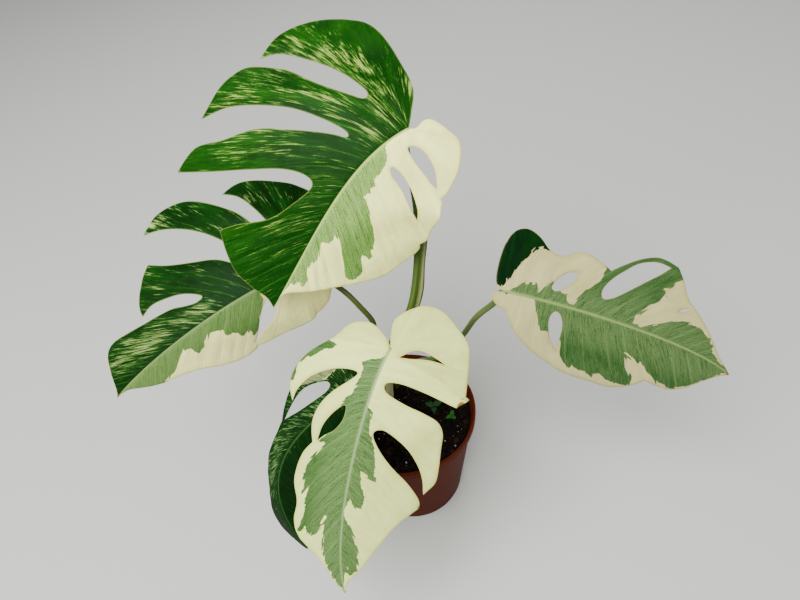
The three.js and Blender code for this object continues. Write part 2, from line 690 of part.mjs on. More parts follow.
function seedlingSolid({ at: [x, y], height, leaf, heading }) {
  const ground = soilHeight(x, y);
  const foot = new THREE.Vector3(x, y, ground - SEEDLING_DEPTH);
  const head = new THREE.Vector3(x, y, ground + height);
  const route = new THREE.LineCurve3(foot, head);
  let plant = toSolid(sweep(route, 3, 8, new THREE.Vector3(1, 0, 0), () => SEEDLING_RADIUS));
  for (const turn of SEEDLING_TURNS) {
    const pad = new THREE.SphereGeometry(1, 8, 6)
      .scale(leaf / 2, leaf / LEAFLET.slimness, LEAFLET.half)
      .translate(leaf / 2 - LEAFLET.overlap, 0, 0)
      .rotateY(THREE.MathUtils.degToRad(SEEDLING_TILT))
      .rotateZ(THREE.MathUtils.degToRad(heading + turn))
      .translate(x, y, ground + height - 1 - turn / LEAFLET.drop);
    plant = plant.add(toSolid(pad));
  }
  return plant;
}

// Assembly

function part(name, geometry, material) {
  const mesh = new THREE.Mesh(geometry, material);
  mesh.name = name;
  return mesh;
}

const plant = new THREE.Group();
const leaves = new THREE.Group();
const stalks = new THREE.Group();
for (const [name, leaf] of Object.entries(LEAVES)) {
  const skin = finish(STALKS[name].color, ROUGHNESS.stalk);
  leaves.add(part("leaf_" + name, bladeGeometry(leaf), finish(leaf.color, ROUGHNESS.leaf)));
  stalks.add(part("stalk_" + name, stalkGeometry(name), skin));
}
plant.add(leaves, stalks, part("main_stem", stemGeometry(0), finish(COLORS.stem, ROUGHNESS.stem)));
SEEDLINGS.forEach((seedling, i) => {
  const tissue = finish(COLORS.seedling, ROUGHNESS.seedling);
  plant.add(part("seedling_" + (i + 1), toGeometry(seedlingSolid(seedling)), tissue));
});

const pot = new THREE.Group();
pot.add(part("pot", toGeometry(potSolid()), finish(COLORS.pot, ROUGHNESS.pot)));
pot.add(part("soil", toGeometry(soilSolid()), finish(COLORS.soil, ROUGHNESS.soil)));

const root = new THREE.Group();
root.add(pot, plant);
export default root;
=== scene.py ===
"""A potted variegated monstera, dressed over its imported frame.

Sizes are in millimetres in the frame's axes, and become metres where a mesh is made.
"""

import logging
import math
from dataclasses import dataclass
from enum import Enum
from typing import Any, Callable, Sequence

import bmesh
import bpy
import numpy as np
from mathutils import Matrix, Vector, geometry, noise


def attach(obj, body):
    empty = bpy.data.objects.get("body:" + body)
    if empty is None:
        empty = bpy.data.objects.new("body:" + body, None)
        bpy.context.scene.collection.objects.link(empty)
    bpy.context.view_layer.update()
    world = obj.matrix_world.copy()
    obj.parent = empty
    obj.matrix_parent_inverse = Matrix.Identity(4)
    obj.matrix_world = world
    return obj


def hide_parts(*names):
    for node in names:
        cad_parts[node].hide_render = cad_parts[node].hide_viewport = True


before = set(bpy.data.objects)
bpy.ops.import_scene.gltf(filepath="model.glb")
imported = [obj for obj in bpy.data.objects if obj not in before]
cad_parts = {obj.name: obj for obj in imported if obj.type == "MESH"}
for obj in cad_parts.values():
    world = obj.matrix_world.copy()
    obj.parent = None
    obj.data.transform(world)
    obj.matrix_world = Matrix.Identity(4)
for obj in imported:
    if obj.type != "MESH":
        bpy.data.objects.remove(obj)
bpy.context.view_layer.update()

log = logging.getLogger("monstera")
MM = 0.001
BODY = "root"
Pair = tuple[float, float]
Triple = tuple[float, float, float]
Edges = list[tuple[int, int]]
Faces = list[tuple[int, ...]]
Piece = bpy.types.Object
Material = bpy.types.Material
Tree = bpy.types.NodeTree
Socket = bpy.types.NodeSocket
Sockets = dict[str, Socket]

# Blender's names of the nodes, and the settings that come often. Of the numbered inputs, a Map
# Range node takes 0 the value, 1 and 2 the range that it comes from, and 3 and 4 the range that it
# goes to. A Mix node takes 0 the share, and 2 and 3 the numbers or 6 and 7 the colours.
ATTRIBUTE = "ShaderNodeAttribute"
BUMP = "ShaderNodeBump"
CELLS = "ShaderNodeTexVoronoi"
COORDINATES = "ShaderNodeTexCoord"
MATH = "ShaderNodeMath"
MIX = "ShaderNodeMix"
NOISE = "ShaderNodeTexNoise"
RANGE = "ShaderNodeMapRange"
SEPARATE = "ShaderNodeSeparateXYZ"
VECTOR_MATH = "ShaderNodeVectorMath"
ADD = {"operation": "ADD"}
MULTIPLY = {"operation": "MULTIPLY"}
MULTIPLY_ADD = {"operation": "MULTIPLY_ADD"}
SOFT = {"interpolation_type": "SMOOTHSTEP"}

# How many points are measured at once, and the depth that stands for no outline at all.
BLOCK = 1500
FAR_OUTSIDE = -99.0

# How much finer than the flecks each streaky pattern of a blade is, across its veins and along them.
STREAKS = {
    "clouds": (0.3, 0.45, 1),
    "clumps": (0.36, 0.6, 1),
    "streaks": (1, 1, 1),
    "threads": (3, 1.4, 1),
    "hairs": (8, 2.6, 1),
    "lines": (0.8, 0.35, 1),
}
JAGS = (0.34, 1.1, 1)

# How strongly a patch of flecks counts, how far the patterns of a blade's two halves lie apart in
# the noise, and the usual distance between two side veins, in millimetres.
FLECK_SHARE = 0.13
SIDE_SHIFT = 7.3
USUAL_SPACING = 12


class Ends(Enum):
    """How a smooth curve is carried on past its end points."""

    DOUBLED = "doubled"
    REFLECTED = "reflected"


class Face(Enum):
    """The two faces of a leaf blade."""

    UPPER = "upper"
    UNDER = "under"


def srgb(code: str) -> tuple[float, float, float, float]:
    """Turns an sRGB hex colour into the linear colour that a shader takes.

    Args:
        code: The colour, as in "#7a3220".

    Returns:
        Linear red, green and blue, and an alpha of one.
    """
    channels = [int(code[i : i + 2], 16) / 255 for i in (1, 3, 5)]
    linear = [c / 12.92 if c <= 0.04045 else ((c + 0.055) / 1.055) ** 2.4 for c in channels]
    return (linear[0], linear[1], linear[2], 1.0)


def add_node(
    tree: Tree,
    kind: str,
    settings: dict[str, Any] | None = None,
    inputs: dict[int | str, Any] | None = None,
    output: int | str = 0,
) -> Socket | None:
    """Adds one node, with its settings and links.

    Args:
        tree: The node tree that takes it.
        kind: Blender's name for the node.
        settings: Values of the node's own properties.
        inputs: For each input, a socket to link, a hex colour or another value to set.
        output: Which of its outputs is wanted.

    Returns:
        The socket of that output, or nothing where the node has none.
    """
    node = tree.nodes.new(kind)
    for name, value in (settings or {}).items():
        setattr(node, name, value)
    for name, value in (inputs or {}).items():
        if isinstance(value, Socket):
            tree.links.new(value, node.inputs[name])
        else:
            node.inputs[name].default_value = srgb(value) if isinstance(value, str) else value
    return node.outputs[output] if node.outputs else None


def layered(tree: Tree, base: Any, layers: Sequence[tuple[Socket, Any]]) -> Socket:
    """Lays colours over a base colour.

    Args:
        tree: The node tree.
        base: A hex colour, or the socket of one.
        layers: For each layer, the socket of its mask, and its colour in the same way.

    Returns:
        The socket of the result.
    """
    color = base
    for mask, over in layers:
        color = add_node(tree, MIX, {"data_type": "RGBA"}, {0: mask, 6: color, 7: over}, 2)
    return color


def new_material(name: str) -> tuple[Material, Tree]:
    """Makes a material whose nodes are still to come.

    Args:
        name: The material's name.

    Returns:
        The material and its empty node tree.
    """
    material = bpy.data.materials.new(name)
    material.use_nodes = True
    material.node_tree.nodes.clear()
    return material, material.node_tree


def surface(
    tree: Tree,
    color: Any,
    values: dict[str, Any],
    height: Socket | None = None,
    depth: float = 0.0,
    strength: float = 1.0,
) -> None:
    """Ends a material with its Principled shader.

    Args:
        tree: The material's node tree.
        color: The socket of its colour, or one hex colour.
        values: What is the same all over the surface, by the shader's own sockets.
        height: The socket of its relief, if it has any.
        depth: How deep the relief is, in millimetres.
        strength: How strongly the relief shows.
    """
    inputs = {"Base Color": color, **values}
    if height is not None:
        relief = {"Strength": strength, "Distance": depth * MM, "Height": height}
        inputs["Normal"] = add_node(tree, BUMP, inputs=relief)
    shader = add_node(tree, "ShaderNodeBsdfPrincipled", inputs=inputs)
    add_node(tree, "ShaderNodeOutputMaterial", inputs={"Surface": shader})


def scale_for(*sizes: float) -> tuple[float, ...]:
    """Turns the sizes of a pattern's marks, in millimetres, into its scale along each axis."""
    return tuple(1 / (size * MM) for size in sizes)


def unit(vectors: np.ndarray) -> np.ndarray:
    """Scales each vector of an array to length one."""
    return vectors / np.linalg.norm(vectors, axis=-1, keepdims=True)


def ease(low: float, high: float, value: np.ndarray) -> np.ndarray:
    """Rises smoothly from 0 at low to 1 at high."""
    share = np.clip((value - low) / (high - low), 0, 1)
    return share * share * (3 - 2 * share)


def smooth_curve(points: Sequence[Sequence[float]], ends: Ends, per_span: int = 20) -> np.ndarray:
    """Runs a uniform Catmull-Rom curve through points.

    Args:
        points: The points, in two or three dimensions.
        ends: How the curve is carried on past its ends.
        per_span: Samples from one point to the next.

    Returns:
        The samples, from the first point to the last.
    """
    path = np.array(points, float)
    if ends is Ends.DOUBLED:
        padded = np.vstack([path[:1], path, path[-1:]])
    else:
        padded = np.vstack([2 * path[0] - path[1], path, 2 * path[-1] - path[-2]])
    t = np.linspace(0, 1, per_span, endpoint=False)[:, None]
    spans = []
    for before, start, end, after in zip(padded, padded[1:], padded[2:], padded[3:]):
        leave, arrive = (end - before) / 2, (after - start) / 2
        cubic = 2 * start - 2 * end + leave + arrive
        square = 3 * end - 3 * start - 2 * leave - arrive
        spans.append(((cubic * t + square) * t + leave) * t + start)
    return np.vstack([*spans, path[-1:]])


def evenly(path: np.ndarray, step: float) -> np.ndarray:
    """Resamples a path at even distances.

    Args:
        path: The path's points.
        step: The distance wanted, in the path's unit.

    Returns:
        Points at even distances, both ends included.
    """
    lengths = np.concatenate([[0], np.cumsum(np.linalg.norm(np.diff(path, axis=0), axis=1))])
    count = max(2, round(lengths[-1] / step) + 1)
    places = np.linspace(0, lengths[-1], count)
    return np.column_stack([np.interp(places, lengths, path[:, axis]) for axis in range(path.shape[1])])


def is_inside(points: np.ndarray, rings: Sequence[np.ndarray]) -> np.ndarray:
    """Tells which flat points lie inside rings, where a ring within another is a hole.

    Args:
        points: Flat points.
        rings: Closed rings of flat points.

    Returns:
        For each point, whether it lies inside.
    """
    odd = np.zeros(len(points), bool)
    x, y = points[:, 0], points[:, 1]
    for ring in rings:
        for (ax, ay), (bx, by) in zip(ring, np.roll(ring, -1, axis=0)):
            crossed = (ay > y) != (by > y)
            reach = ax + (bx - ax) * (y - ay) / (by - ay if by != ay else 1)
            odd ^= crossed & (x < reach)
    return odd


def edge_distance(points: np.ndarray, rings: Sequence[np.ndarray]) -> np.ndarray:
    """Gives each flat point's distance to the nearest edge of any ring.

    Args:
        points: Flat points.
        rings: Closed rings of flat points.

    Returns:
        The distances.
    """
    starts = np.vstack(list(rings))
    edges = np.vstack([np.roll(ring, -1, axis=0) - ring for ring in rings])
    squares = np.maximum((edges**2).sum(axis=1), 1e-9)
    nearest = []
    for block in np.array_split(points, max(1, len(points) // BLOCK)):
        apart = block[:, None] - starts
        share = np.clip((apart * edges).sum(axis=2) / squares, 0, 1)[..., None]
        nearest.append(np.linalg.norm(apart - share * edges, axis=2).min(axis=1))
    return np.concatenate(nearest)


def depth_inside(points: np.ndarray, outlines: Sequence[Sequence[Pair]]) -> np.ndarray:
    """Gives each flat point's depth inside the nearest outline, negative outside all of them.

    Args:
        points: Flat points.
        outlines: Closed outlines, each as flat points.

    Returns:
        The depths.
    """
    depth = np.full(len(points), FAR_OUTSIDE)
    for outline in outlines:
        ring = np.array(outline, float)
        distance = edge_distance(points, [ring])
        depth = np.maximum(depth, np.where(is_inside(points, [ring]), distance, -distance))
    return depth


def belt(low: int, high: int, count: int) -> Faces:
    """Joins two closed rings of vertices by a belt of four-sided faces.

    Args:
        low: The number of the first ring's first vertex.
        high: The same for the second ring.
        count: How many vertices each ring has.

    Returns:
        The faces.
    """
    pairs = [(i, (i + 1) % count) for i in range(count)]
    return [(low + i, low + after, high + after, high + i) for i, after in pairs]


def level_ring(radius: float, height: float, turn: np.ndarray) -> np.ndarray:
    """Gives the points of a level circle round the pot's axis, at the angles of turn."""
    return np.column_stack([radius * np.cos(turn), radius * np.sin(turn), np.full(len(turn), height)])


def loft(
    path: np.ndarray, side: Triple, radius: np.ndarray, angle: np.ndarray
) -> tuple[np.ndarray, Faces]:
    """Sweeps a section along a path, as one closed skin.

    Args:
        path: The middle line's points.
        side: The way from which the section's angles are counted.
        radius: The radius at each ring and corner.
        angle: The angle of each corner.

    Returns:
        The points and the faces.
    """
    ahead = unit(np.gradient(path, axis=0))
    start = np.array(side, float)
    across = unit(start - ahead * (ahead @ start)[:, None])
    up = np.cross(ahead, across)
    spokes = across[:, None] * np.cos(angle)[..., None] + up[:, None] * np.sin(angle)[..., None]
    points = (path[:, None] + spokes * radius[..., None]).reshape(-1, 3)
    rings, sides = radius.shape
    starts = [ring * sides for ring in range(rings)]
    faces = [face for low, high in zip(starts, starts[1:]) for face in belt(low, high, sides)]
    faces += [tuple(reversed(range(sides))), tuple(range(starts[-1], starts[-1] + sides))]
    return points, faces


def make_piece(
    name: str,
    points: np.ndarray,
    faces: Sequence[Sequence[int]],
    materials: Sequence[Material],
    slots: Sequence[int] | None = None,
    smooth: bool = True,
) -> Piece:
    """Makes a mesh object from points in millimetres.

    Args:
        name: The piece's name.
        points: Its vertices, in millimetres in the frame's axes.
        faces: Its faces, as vertex numbers.
        materials: Its materials, in the order of its slots.
        slots: For each face, the number of its material.
        smooth: Whether its faces are shaded smooth.

    Returns:
        The object, linked to the scene.
    """
    mesh = bpy.data.meshes.new(name)
    mesh.from_pydata((points * MM).tolist(), [], [list(face) for face in faces])
    for material in materials:
        mesh.materials.append(material)
    if slots is not None:
        mesh.polygons.foreach_set("material_index", np.array(slots, np.int32))
    mesh.polygons.foreach_set("use_smooth", np.full(len(mesh.polygons), smooth))
    mesh.validate()
    mesh.update()
    piece = bpy.data.objects.new(name, mesh)
    bpy.context.scene.collection.objects.link(piece)
    log.info("%s: %d vertices, %d faces", name, len(mesh.vertices), len(mesh.polygons))
    return piece


def add_vectors(piece: Piece, name: str, vectors: np.ndarray) -> None:
    """Gives each vertex of a piece a named vector, which its material reads."""
    layer = piece.data.attributes.new(name, "FLOAT_VECTOR", "POINT")
    layer.data.foreach_set("vector", np.ascontiguousarray(vectors, np.float32).ravel())


def mount_piece(piece: Piece, node: str) -> None:
    """Lets a piece ride on the part and stand for one CAD node.

    Args:
        piece: The piece.
        node: The CAD node that it replaces.
    """
    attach(piece, BODY)
    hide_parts(node)


@dataclass(frozen=True)
class Veins:
    """How a blade's side veins leave its midrib, in degrees from square to it and in millimetres.

    Behind the stalk they fan out from one point, so one number runs along the midrib and on
    through the fan: the vein's place, negative in the fan. Each side vein starts squarer to the
    midrib than it goes on.
    """

    lean_left: tuple[float, ...]
    lean_right: tuple[float, ...]
    shares: tuple[float, ...] = (0, 0.1, 0.3, 0.6, 1)
    bend: float = 0.45
    bend_reach: float = 13
    fan: float = 30
    fan_lean: float = -130
    spacing: float = 12
    warp: float = 2.4
    warp_length: float = 8.5
    beyond: float = 60
    halvings: int = 26

    def lean(self, place: np.ndarray, left: np.ndarray, length: float) -> np.ndarray:
        """Gives the lean of the veins at their places.

        Args:
            place: The veins' places.
            left: Whether each is on the left half.
            length: The midrib's flat length.

        Returns:
            The leans, in radians.
        """
        share = np.clip(place / length, 0, 1)
        on_left = np.interp(share, self.shares, self.lean_left)
        ahead = np.where(left, on_left, np.interp(share, self.shares, self.lean_right))
        first = np.where(left, self.lean_left[0], self.lean_right[0])
        behind = first + (self.fan_lean - first) * np.clip(-place / self.fan, 0, 1)
        return np.radians(np.where(place < 0, behind, ahead))

    def locate(self, flat: np.ndarray, length: float) -> tuple[np.ndarray, np.ndarray]:
        """Finds the vein that runs through each flat point.

        Args:
            flat: Flat points of the blade.
            length: The midrib's flat length.

        Returns:
            Each point's vein, by its place, and how far out along it the point lies.
        """
        left, out = flat[:, 1] < 0, np.abs(flat[:, 1])
        offset = self.bend * self.bend_reach * (1 - np.exp(-out / self.bend_reach))
        along = flat[:, 0] + offset * ease(-10, 30, flat[:, 0])
        low = np.full(len(flat), -self.fan)
        high = np.full(len(flat), length + self.beyond)
        for _ in range(self.halvings):
            middle = (low + high) / 2
            lean = self.lean(middle, left, length)
            ahead = (along - np.maximum(middle, 0)) * np.cos(lean) > out * np.sin(lean)
            low = np.where(ahead, middle, low)
            high = np.where(ahead, high, middle)
        place = (low + high) / 2
        return place, np.hypot(along - np.maximum(place, 0), out)

    def phase(self, place: np.ndarray) -> np.ndarray:
        """Counts the side veins at unequal distances: whole numbers are veins."""
        return (place + self.warp * np.sin(place / self.warp_length)) / self.spacing


@dataclass(frozen=True)
class Blob:
    """A soft oval patch on a blade: its middle, its half sizes and its strength."""

    middle: Pair
    size: Pair
    strength: float

    def weight(self, flat: np.ndarray) -> np.ndarray:
        """Gives the patch's strength at flat points, fading outwards."""
        apart = (flat - np.array(self.middle)) / np.array(self.size)
        return self.strength * np.exp(-(apart**2).sum(axis=1))


def patchwork(blobs: Sequence[Blob], flat: np.ndarray) -> np.ndarray:
    """Adds up the strengths of patches at flat points."""
    return sum((blob.weight(flat) for blob in blobs), np.zeros(len(flat)))


@dataclass(frozen=True)
class LeafFinish:
    """Living leaf of a variegated aroid: a waxy cuticle over green or colourless tissue.

    The cuticle is smooth and gives a broad satin gloss. Tissue with chlorophyll is green, tissue
    with little of it grey-green, and tissue with none cream. The marks follow the side veins.
    Widths, lengths and the grain are in millimetres.
    """

    name: str
    deep: str = "#052403"
    fresh: str = "#113e05"
    fleck_green: str = "#36601c"
    fleck: str = "#5f7430"
    fleck_pale: str = "#989e58"
    grey: str = "#68893a"
    grey_light: str = "#89a456"
    grey_line: str = "#2f5a20"
    cream: str = "#eef499"
    cream_warm: str = "#dcd47c"
    rib: str = "#9fb060"
    vein: str = "#2a6416"
    margin: str = "#7f8c3c"
    dead: str = "#6a3f18"
    under: str = "#8da472"
    under_vein: str = "#a9b77c"
    gloss: float = 0.02
    roughness: float = 0.34
    under_roughness: float = 0.6
    fleck_width: float = 1.3
    fleck_length: float = 13.0
    grain: float = 0.75
    relief: float = 0.35
    mottle: float = 0.3
    seed: float = 0.0

    def marks(self, tree: Tree) -> Sockets:
        """Reads the marks stored on the blade's vertices.

        Args:
            tree: The material's node tree.

        Returns:
            The sockets by name.
        """
        names = {
            "zones": ("green", "grey", "fleck"),
            "place": ("rib", "edge", "far"),
            "vein": ("phase", "pitch", "strong"),
            "flat": ("x", "y", "brown"),
        }
        sockets = {}
        for layer, parts in names.items():
            sockets[layer] = add_node(tree, ATTRIBUTE, {"attribute_name": layer}, output="Vector")
            split = add_node(tree, SEPARATE, inputs={0: sockets[layer]}).node
            sockets.update(zip(parts, split.outputs))
        swing = add_node(tree, MATH, {"operation": "PINGPONG"}, {0: sockets["phase"], 1: 0.5})
        sockets["gap"] = add_node(tree, MATH, MULTIPLY, {0: swing, 1: sockets["pitch"]})
        return sockets

    def patterns(self, tree: Tree, mark: Sockets) -> Sockets:
        """Makes the streaky patterns that run along the side veins, and an even grain.

        Args:
            tree: The material's node tree.
            mark: The marks' sockets.

        Returns:
            The patterns' sockets by name.
        """
        flow = add_node(tree, ATTRIBUTE, {"attribute_name": "flow"}, output="Vector")
        made = {}
        for name, scale in STREAKS.items():
            stretched = add_node(tree, VECTOR_MATH, MULTIPLY, {0: flow, 1: scale})
            inputs = {"Vector": stretched, "Scale": 1.0, "Detail": 3.0, "Roughness": 0.6}
            made[name] = add_node(tree, NOISE, inputs=inputs)
        stretched = add_node(tree, VECTOR_MATH, MULTIPLY, {0: flow, 1: JAGS})
        cell = add_node(tree, CELLS, inputs={"Vector": stretched, "Scale": 1.0}, output="Color")
        made["cell"] = add_node(tree, SEPARATE, inputs={0: cell})
        even = {"Vector": mark["flat"], "Scale": 1 / self.grain, "Detail": 3.0, "Roughness": 0.65}
        made["grain"] = add_node(tree, NOISE, inputs=even)
        # Where the veins fan apart, finer patterns take over, so that the streaks stay as narrow.
        wide = add_node(tree, RANGE, SOFT, {0: mark["pitch"], 1: 1.5, 2: 4.5})
        for name, near, apart in (("main", "streaks", "threads"), ("fine", "threads", "hairs")):
            made[name] = add_node(tree, MIX, inputs={0: wide, 2: made[near], 3: made[apart]})
        return made

    def green_tissue(self, tree: Tree, mark: Sockets, made: Sockets) -> Socket:
        """Colours the green tissue: a mottled green with pale flecks along the veins.

        Args:
            tree: The material's node tree.
            mark: The marks' sockets.
            made: The patterns' sockets.

        Returns:
            The colour's socket.
        """
        tone = add_node(tree, RANGE, inputs={0: made["clouds"], 1: 0.36, 2: 0.66})
        lit = add_node(tree, MATH, MULTIPLY, {0: tone, 1: mark["far"]})
        shade = add_node(tree, RANGE, SOFT, {0: made["threads"], 1: 0.54, 2: 0.38, 4: 0.4})
        dapple = add_node(tree, RANGE, SOFT, {0: made["grain"], 1: 0.54, 2: 0.7, 4: 0.2})
        # The flecks' level adds three patterns to the amount stored on the blade.
        level = mark["fleck"]
        for pattern, share in (("fine", 0.48), ("clumps", 0.2), ("main", 0.32)):
            level = add_node(tree, MATH, MULTIPLY_ADD, {0: made[pattern], 1: share, 2: level})
        fringe = add_node(tree, RANGE, SOFT, {0: level, 1: 0.555, 2: 0.615})
        mottled = add_node(tree, RANGE, SOFT, {0: made["grain"], 1: 0.4, 2: 0.58, 3: 0.15, 4: 0.9})
        broken = add_node(tree, MATH, MULTIPLY, {0: fringe, 1: mottled})
        flecks = add_node(tree, RANGE, SOFT, {0: level, 1: 0.612, 2: 0.632})
        speckle = add_node(tree, RANGE, SOFT, {0: made["grain"], 1: 0.66, 2: 0.54})
        spotted = add_node(tree, MATH, MULTIPLY, {0: flecks, 1: speckle})
        tint = add_node(tree, RANGE, inputs={0: level, 1: 0.63, 2: 0.74})
        pale = layered(tree, self.fleck, [(tint, self.fleck_pale)])
        line = add_node(tree, RANGE, SOFT, {0: mark["gap"], 1: 0.05, 2: 0.012, 4: 0.25})
        veined = add_node(tree, MATH, MULTIPLY, {0: line, 1: mark["strong"]})
        layers = [
            (lit, self.fresh),
            (shade, self.deep),
            (dapple, self.fleck_green),
            (broken, self.fleck_green),
            (spotted, pale),
            (veined, self.vein),
        ]
        return layered(tree, self.deep, layers)

    def grey_tissue(self, tree: Tree, mark: Sockets, made: Sockets) -> Socket:
        """Colours the grey-green tissue: grainy, with dark lines along the veins, paler inwards.

        Args:
            tree: The material's node tree.
            mark: The marks' sockets.
            made: The patterns' sockets.

        Returns:
            The colour's socket.
        """
        dark, light = self.grey_line, self.grey_light
        patch = add_node(tree, RANGE, inputs={0: made["clumps"], 1: 0.4, 2: 0.66, 4: 0.35})
        inward = add_node(tree, RANGE, inputs={0: mark["far"], 1: 0.56, 2: 0.35, 4: 0.6})
        grains = {0: made["grain"], 1: 0.44, 2: 0.58, 4: 2.1 * self.mottle}
        spots = add_node(tree, RANGE, SOFT, grains)
        fine = {0: made["threads"], 1: 0.5, 2: 0.66, 4: 0.7 * self.mottle}
        threads = add_node(tree, RANGE, inputs=fine)
        near = add_node(tree, RANGE, SOFT, {0: mark["rib"], 1: 3.2, 2: 1.0, 4: 0.4})
        beside = add_node(tree, RANGE, SOFT, {0: mark["gap"], 1: 0.07, 2: 0.015, 4: 0.42})
        veined = add_node(tree, MATH, MULTIPLY, {0: beside, 1: mark["strong"]})
        # A long dark line runs wherever the pattern passes through its middle value.
        away = add_node(tree, MATH, {"operation": "SUBTRACT"}, {0: made["lines"], 1: 0.5})
        off = add_node(tree, MATH, {"operation": "ABSOLUTE"}, {0: away})
        line = add_node(tree, RANGE, SOFT, {0: off, 1: 0.03, 2: 0.008, 4: 0.8})
        layers = [
            (patch, light),
            (inward, light),
            (spots, dark),
            (threads, dark),
            (near, light),
            (veined, light),
            (line, dark),
        ]
        return layered(tree, self.grey, layers)

    def cream_tissue(self, tree: Tree, mark: Sockets, made: Sockets) -> Socket:
        """Colours the tissue without green: cream, warmer in clouds and along the margin.

        Args:
            tree: The material's node tree.
            mark: The marks' sockets.
            made: The patterns' sockets.

        Returns:
            The colour's socket.
        """
        warm = self.cream_warm
        clouds = add_node(tree, RANGE, inputs={0: made["clouds"], 1: 0.4, 2: 0.72, 4: 0.6})
        rim = add_node(tree, RANGE, SOFT, {0: mark["edge"], 1: 4.0, 2: 0.0, 4: 0.6})
        strand = add_node(tree, RANGE, inputs={0: made["threads"], 1: 0.55, 2: 0.75, 4: 0.25})
        return layered(tree, self.cream, [(clouds, warm), (rim, warm), (strand, self.grey_light)])

    def jags(self, tree: Tree, mark: Sockets, made: Sockets) -> Socket:
        """Makes the jags that shift the tissues' edges, in millimetres and less at the midrib.

        Args:
            tree: The material's node tree.
            mark: The marks' sockets.
            made: The patterns' sockets.

        Returns:
            The shift's socket.
        """
        steps = add_node(tree, MATH, MULTIPLY_ADD, {0: made["cell"], 1: 2.4, 2: -1.2})
        nips = add_node(tree, MATH, MULTIPLY_ADD, {0: made["main"], 1: 2.4, 2: -1.2})
        bites = add_node(tree, MATH, ADD, {0: steps, 1: nips})
        held = add_node(tree, RANGE, inputs={0: mark["rib"], 1: 1.0, 2: 5.0})
        return add_node(tree, MATH, MULTIPLY, {0: bites, 1: held})

    def edged(
        self, tree: Tree, tissue: Socket, mark: Sockets, made: Sockets, face: Face
    ) -> Socket:
        """Lays the midrib, the margin and dead tips over the tissue, and the underside's paleness.

        Args:
            tree: The material's node tree.
            tissue: The socket of the tissue's colour.
            mark: The marks' sockets.
            made: The patterns' sockets.
            face: The face that is coloured.

        Returns:
            The colour's socket.
        """
        rib = add_node(tree, RANGE, SOFT, {0: mark["rib"], 1: 1.4, 2: 0.5, 4: 0.85})
        ragged = add_node(tree, RANGE, inputs={0: made["grain"], 1: 0.3, 2: 0.7, 3: 0.25, 4: 0.9})
        hem = add_node(tree, RANGE, SOFT, {0: mark["edge"], 1: 0.6, 2: 0.1, 4: 0.5})
        hemmed = add_node(tree, MATH, MULTIPLY, {0: hem, 1: ragged})
        burnt = add_node(tree, MATH, MULTIPLY_ADD, {0: made["grain"], 1: 0.8, 2: mark["brown"]})
        brown = add_node(tree, RANGE, SOFT, {0: burnt, 1: 0.8, 2: 1.0, 4: 0.9})
        layers = [(rib, self.rib), (hemmed, self.margin), (brown, self.dead)]
        if face is Face.UNDER:
            raised = add_node(tree, RANGE, SOFT, {0: mark["gap"], 1: 0.1, 2: 0.03, 4: 0.55})
            standing = add_node(tree, MATH, MULTIPLY, {0: raised, 1: mark["strong"]})
            pale = self.under_vein
            layers += [(ragged, self.under), (standing, pale), (rib, pale)]
        return layered(tree, tissue, layers)

    def material(self, face: Face) -> Material:
        """Builds the blade's material from the marks stored on its vertices.

        Args:
            face: The face that it dresses. The underside is duller and paler.

        Returns:
            The material.
        """
        material, tree = new_material(f"{self.name}_{face.value}")
        mark = self.marks(tree)
        made = self.patterns(tree, mark)
        jag = self.jags(tree, mark, made)
        color = self.cream_tissue(tree, mark, made)
        tissues = (
            (mark["grey"], self.grey_tissue(tree, mark, made)),
            (mark["green"], self.green_tissue(tree, mark, made)),
        )
        for depth, tissue in tissues:
            edge = add_node(tree, MATH, ADD, {0: depth, 1: jag})
            mask = add_node(tree, RANGE, SOFT, {0: edge, 1: -0.25, 2: 0.25})
            color = layered(tree, color, [(mask, tissue)])
        color = self.edged(tree, color, mark, made, face)

        dip = add_node(tree, RANGE, SOFT, {0: mark["gap"], 1: 0.1, 2: 0.0, 4: -0.5})
        dipped = add_node(tree, MATH, ADD, {0: dip, 1: made["main"]})
        height = add_node(tree, MATH, MULTIPLY_ADD, {0: made["grain"], 1: 0.35, 2: dipped})
        values = {
            "Roughness": self.roughness if face is Face.UPPER else self.under_roughness,
            "Specular IOR Level": self.gloss,
            "Subsurface Weight": 0.1,
            "Subsurface Radius": (0.6, 0.8, 0.25),
            "Subsurface Scale": 1.5 * MM,
        }
        surface(tree, color, values, height, self.relief, 0.45)
        return material


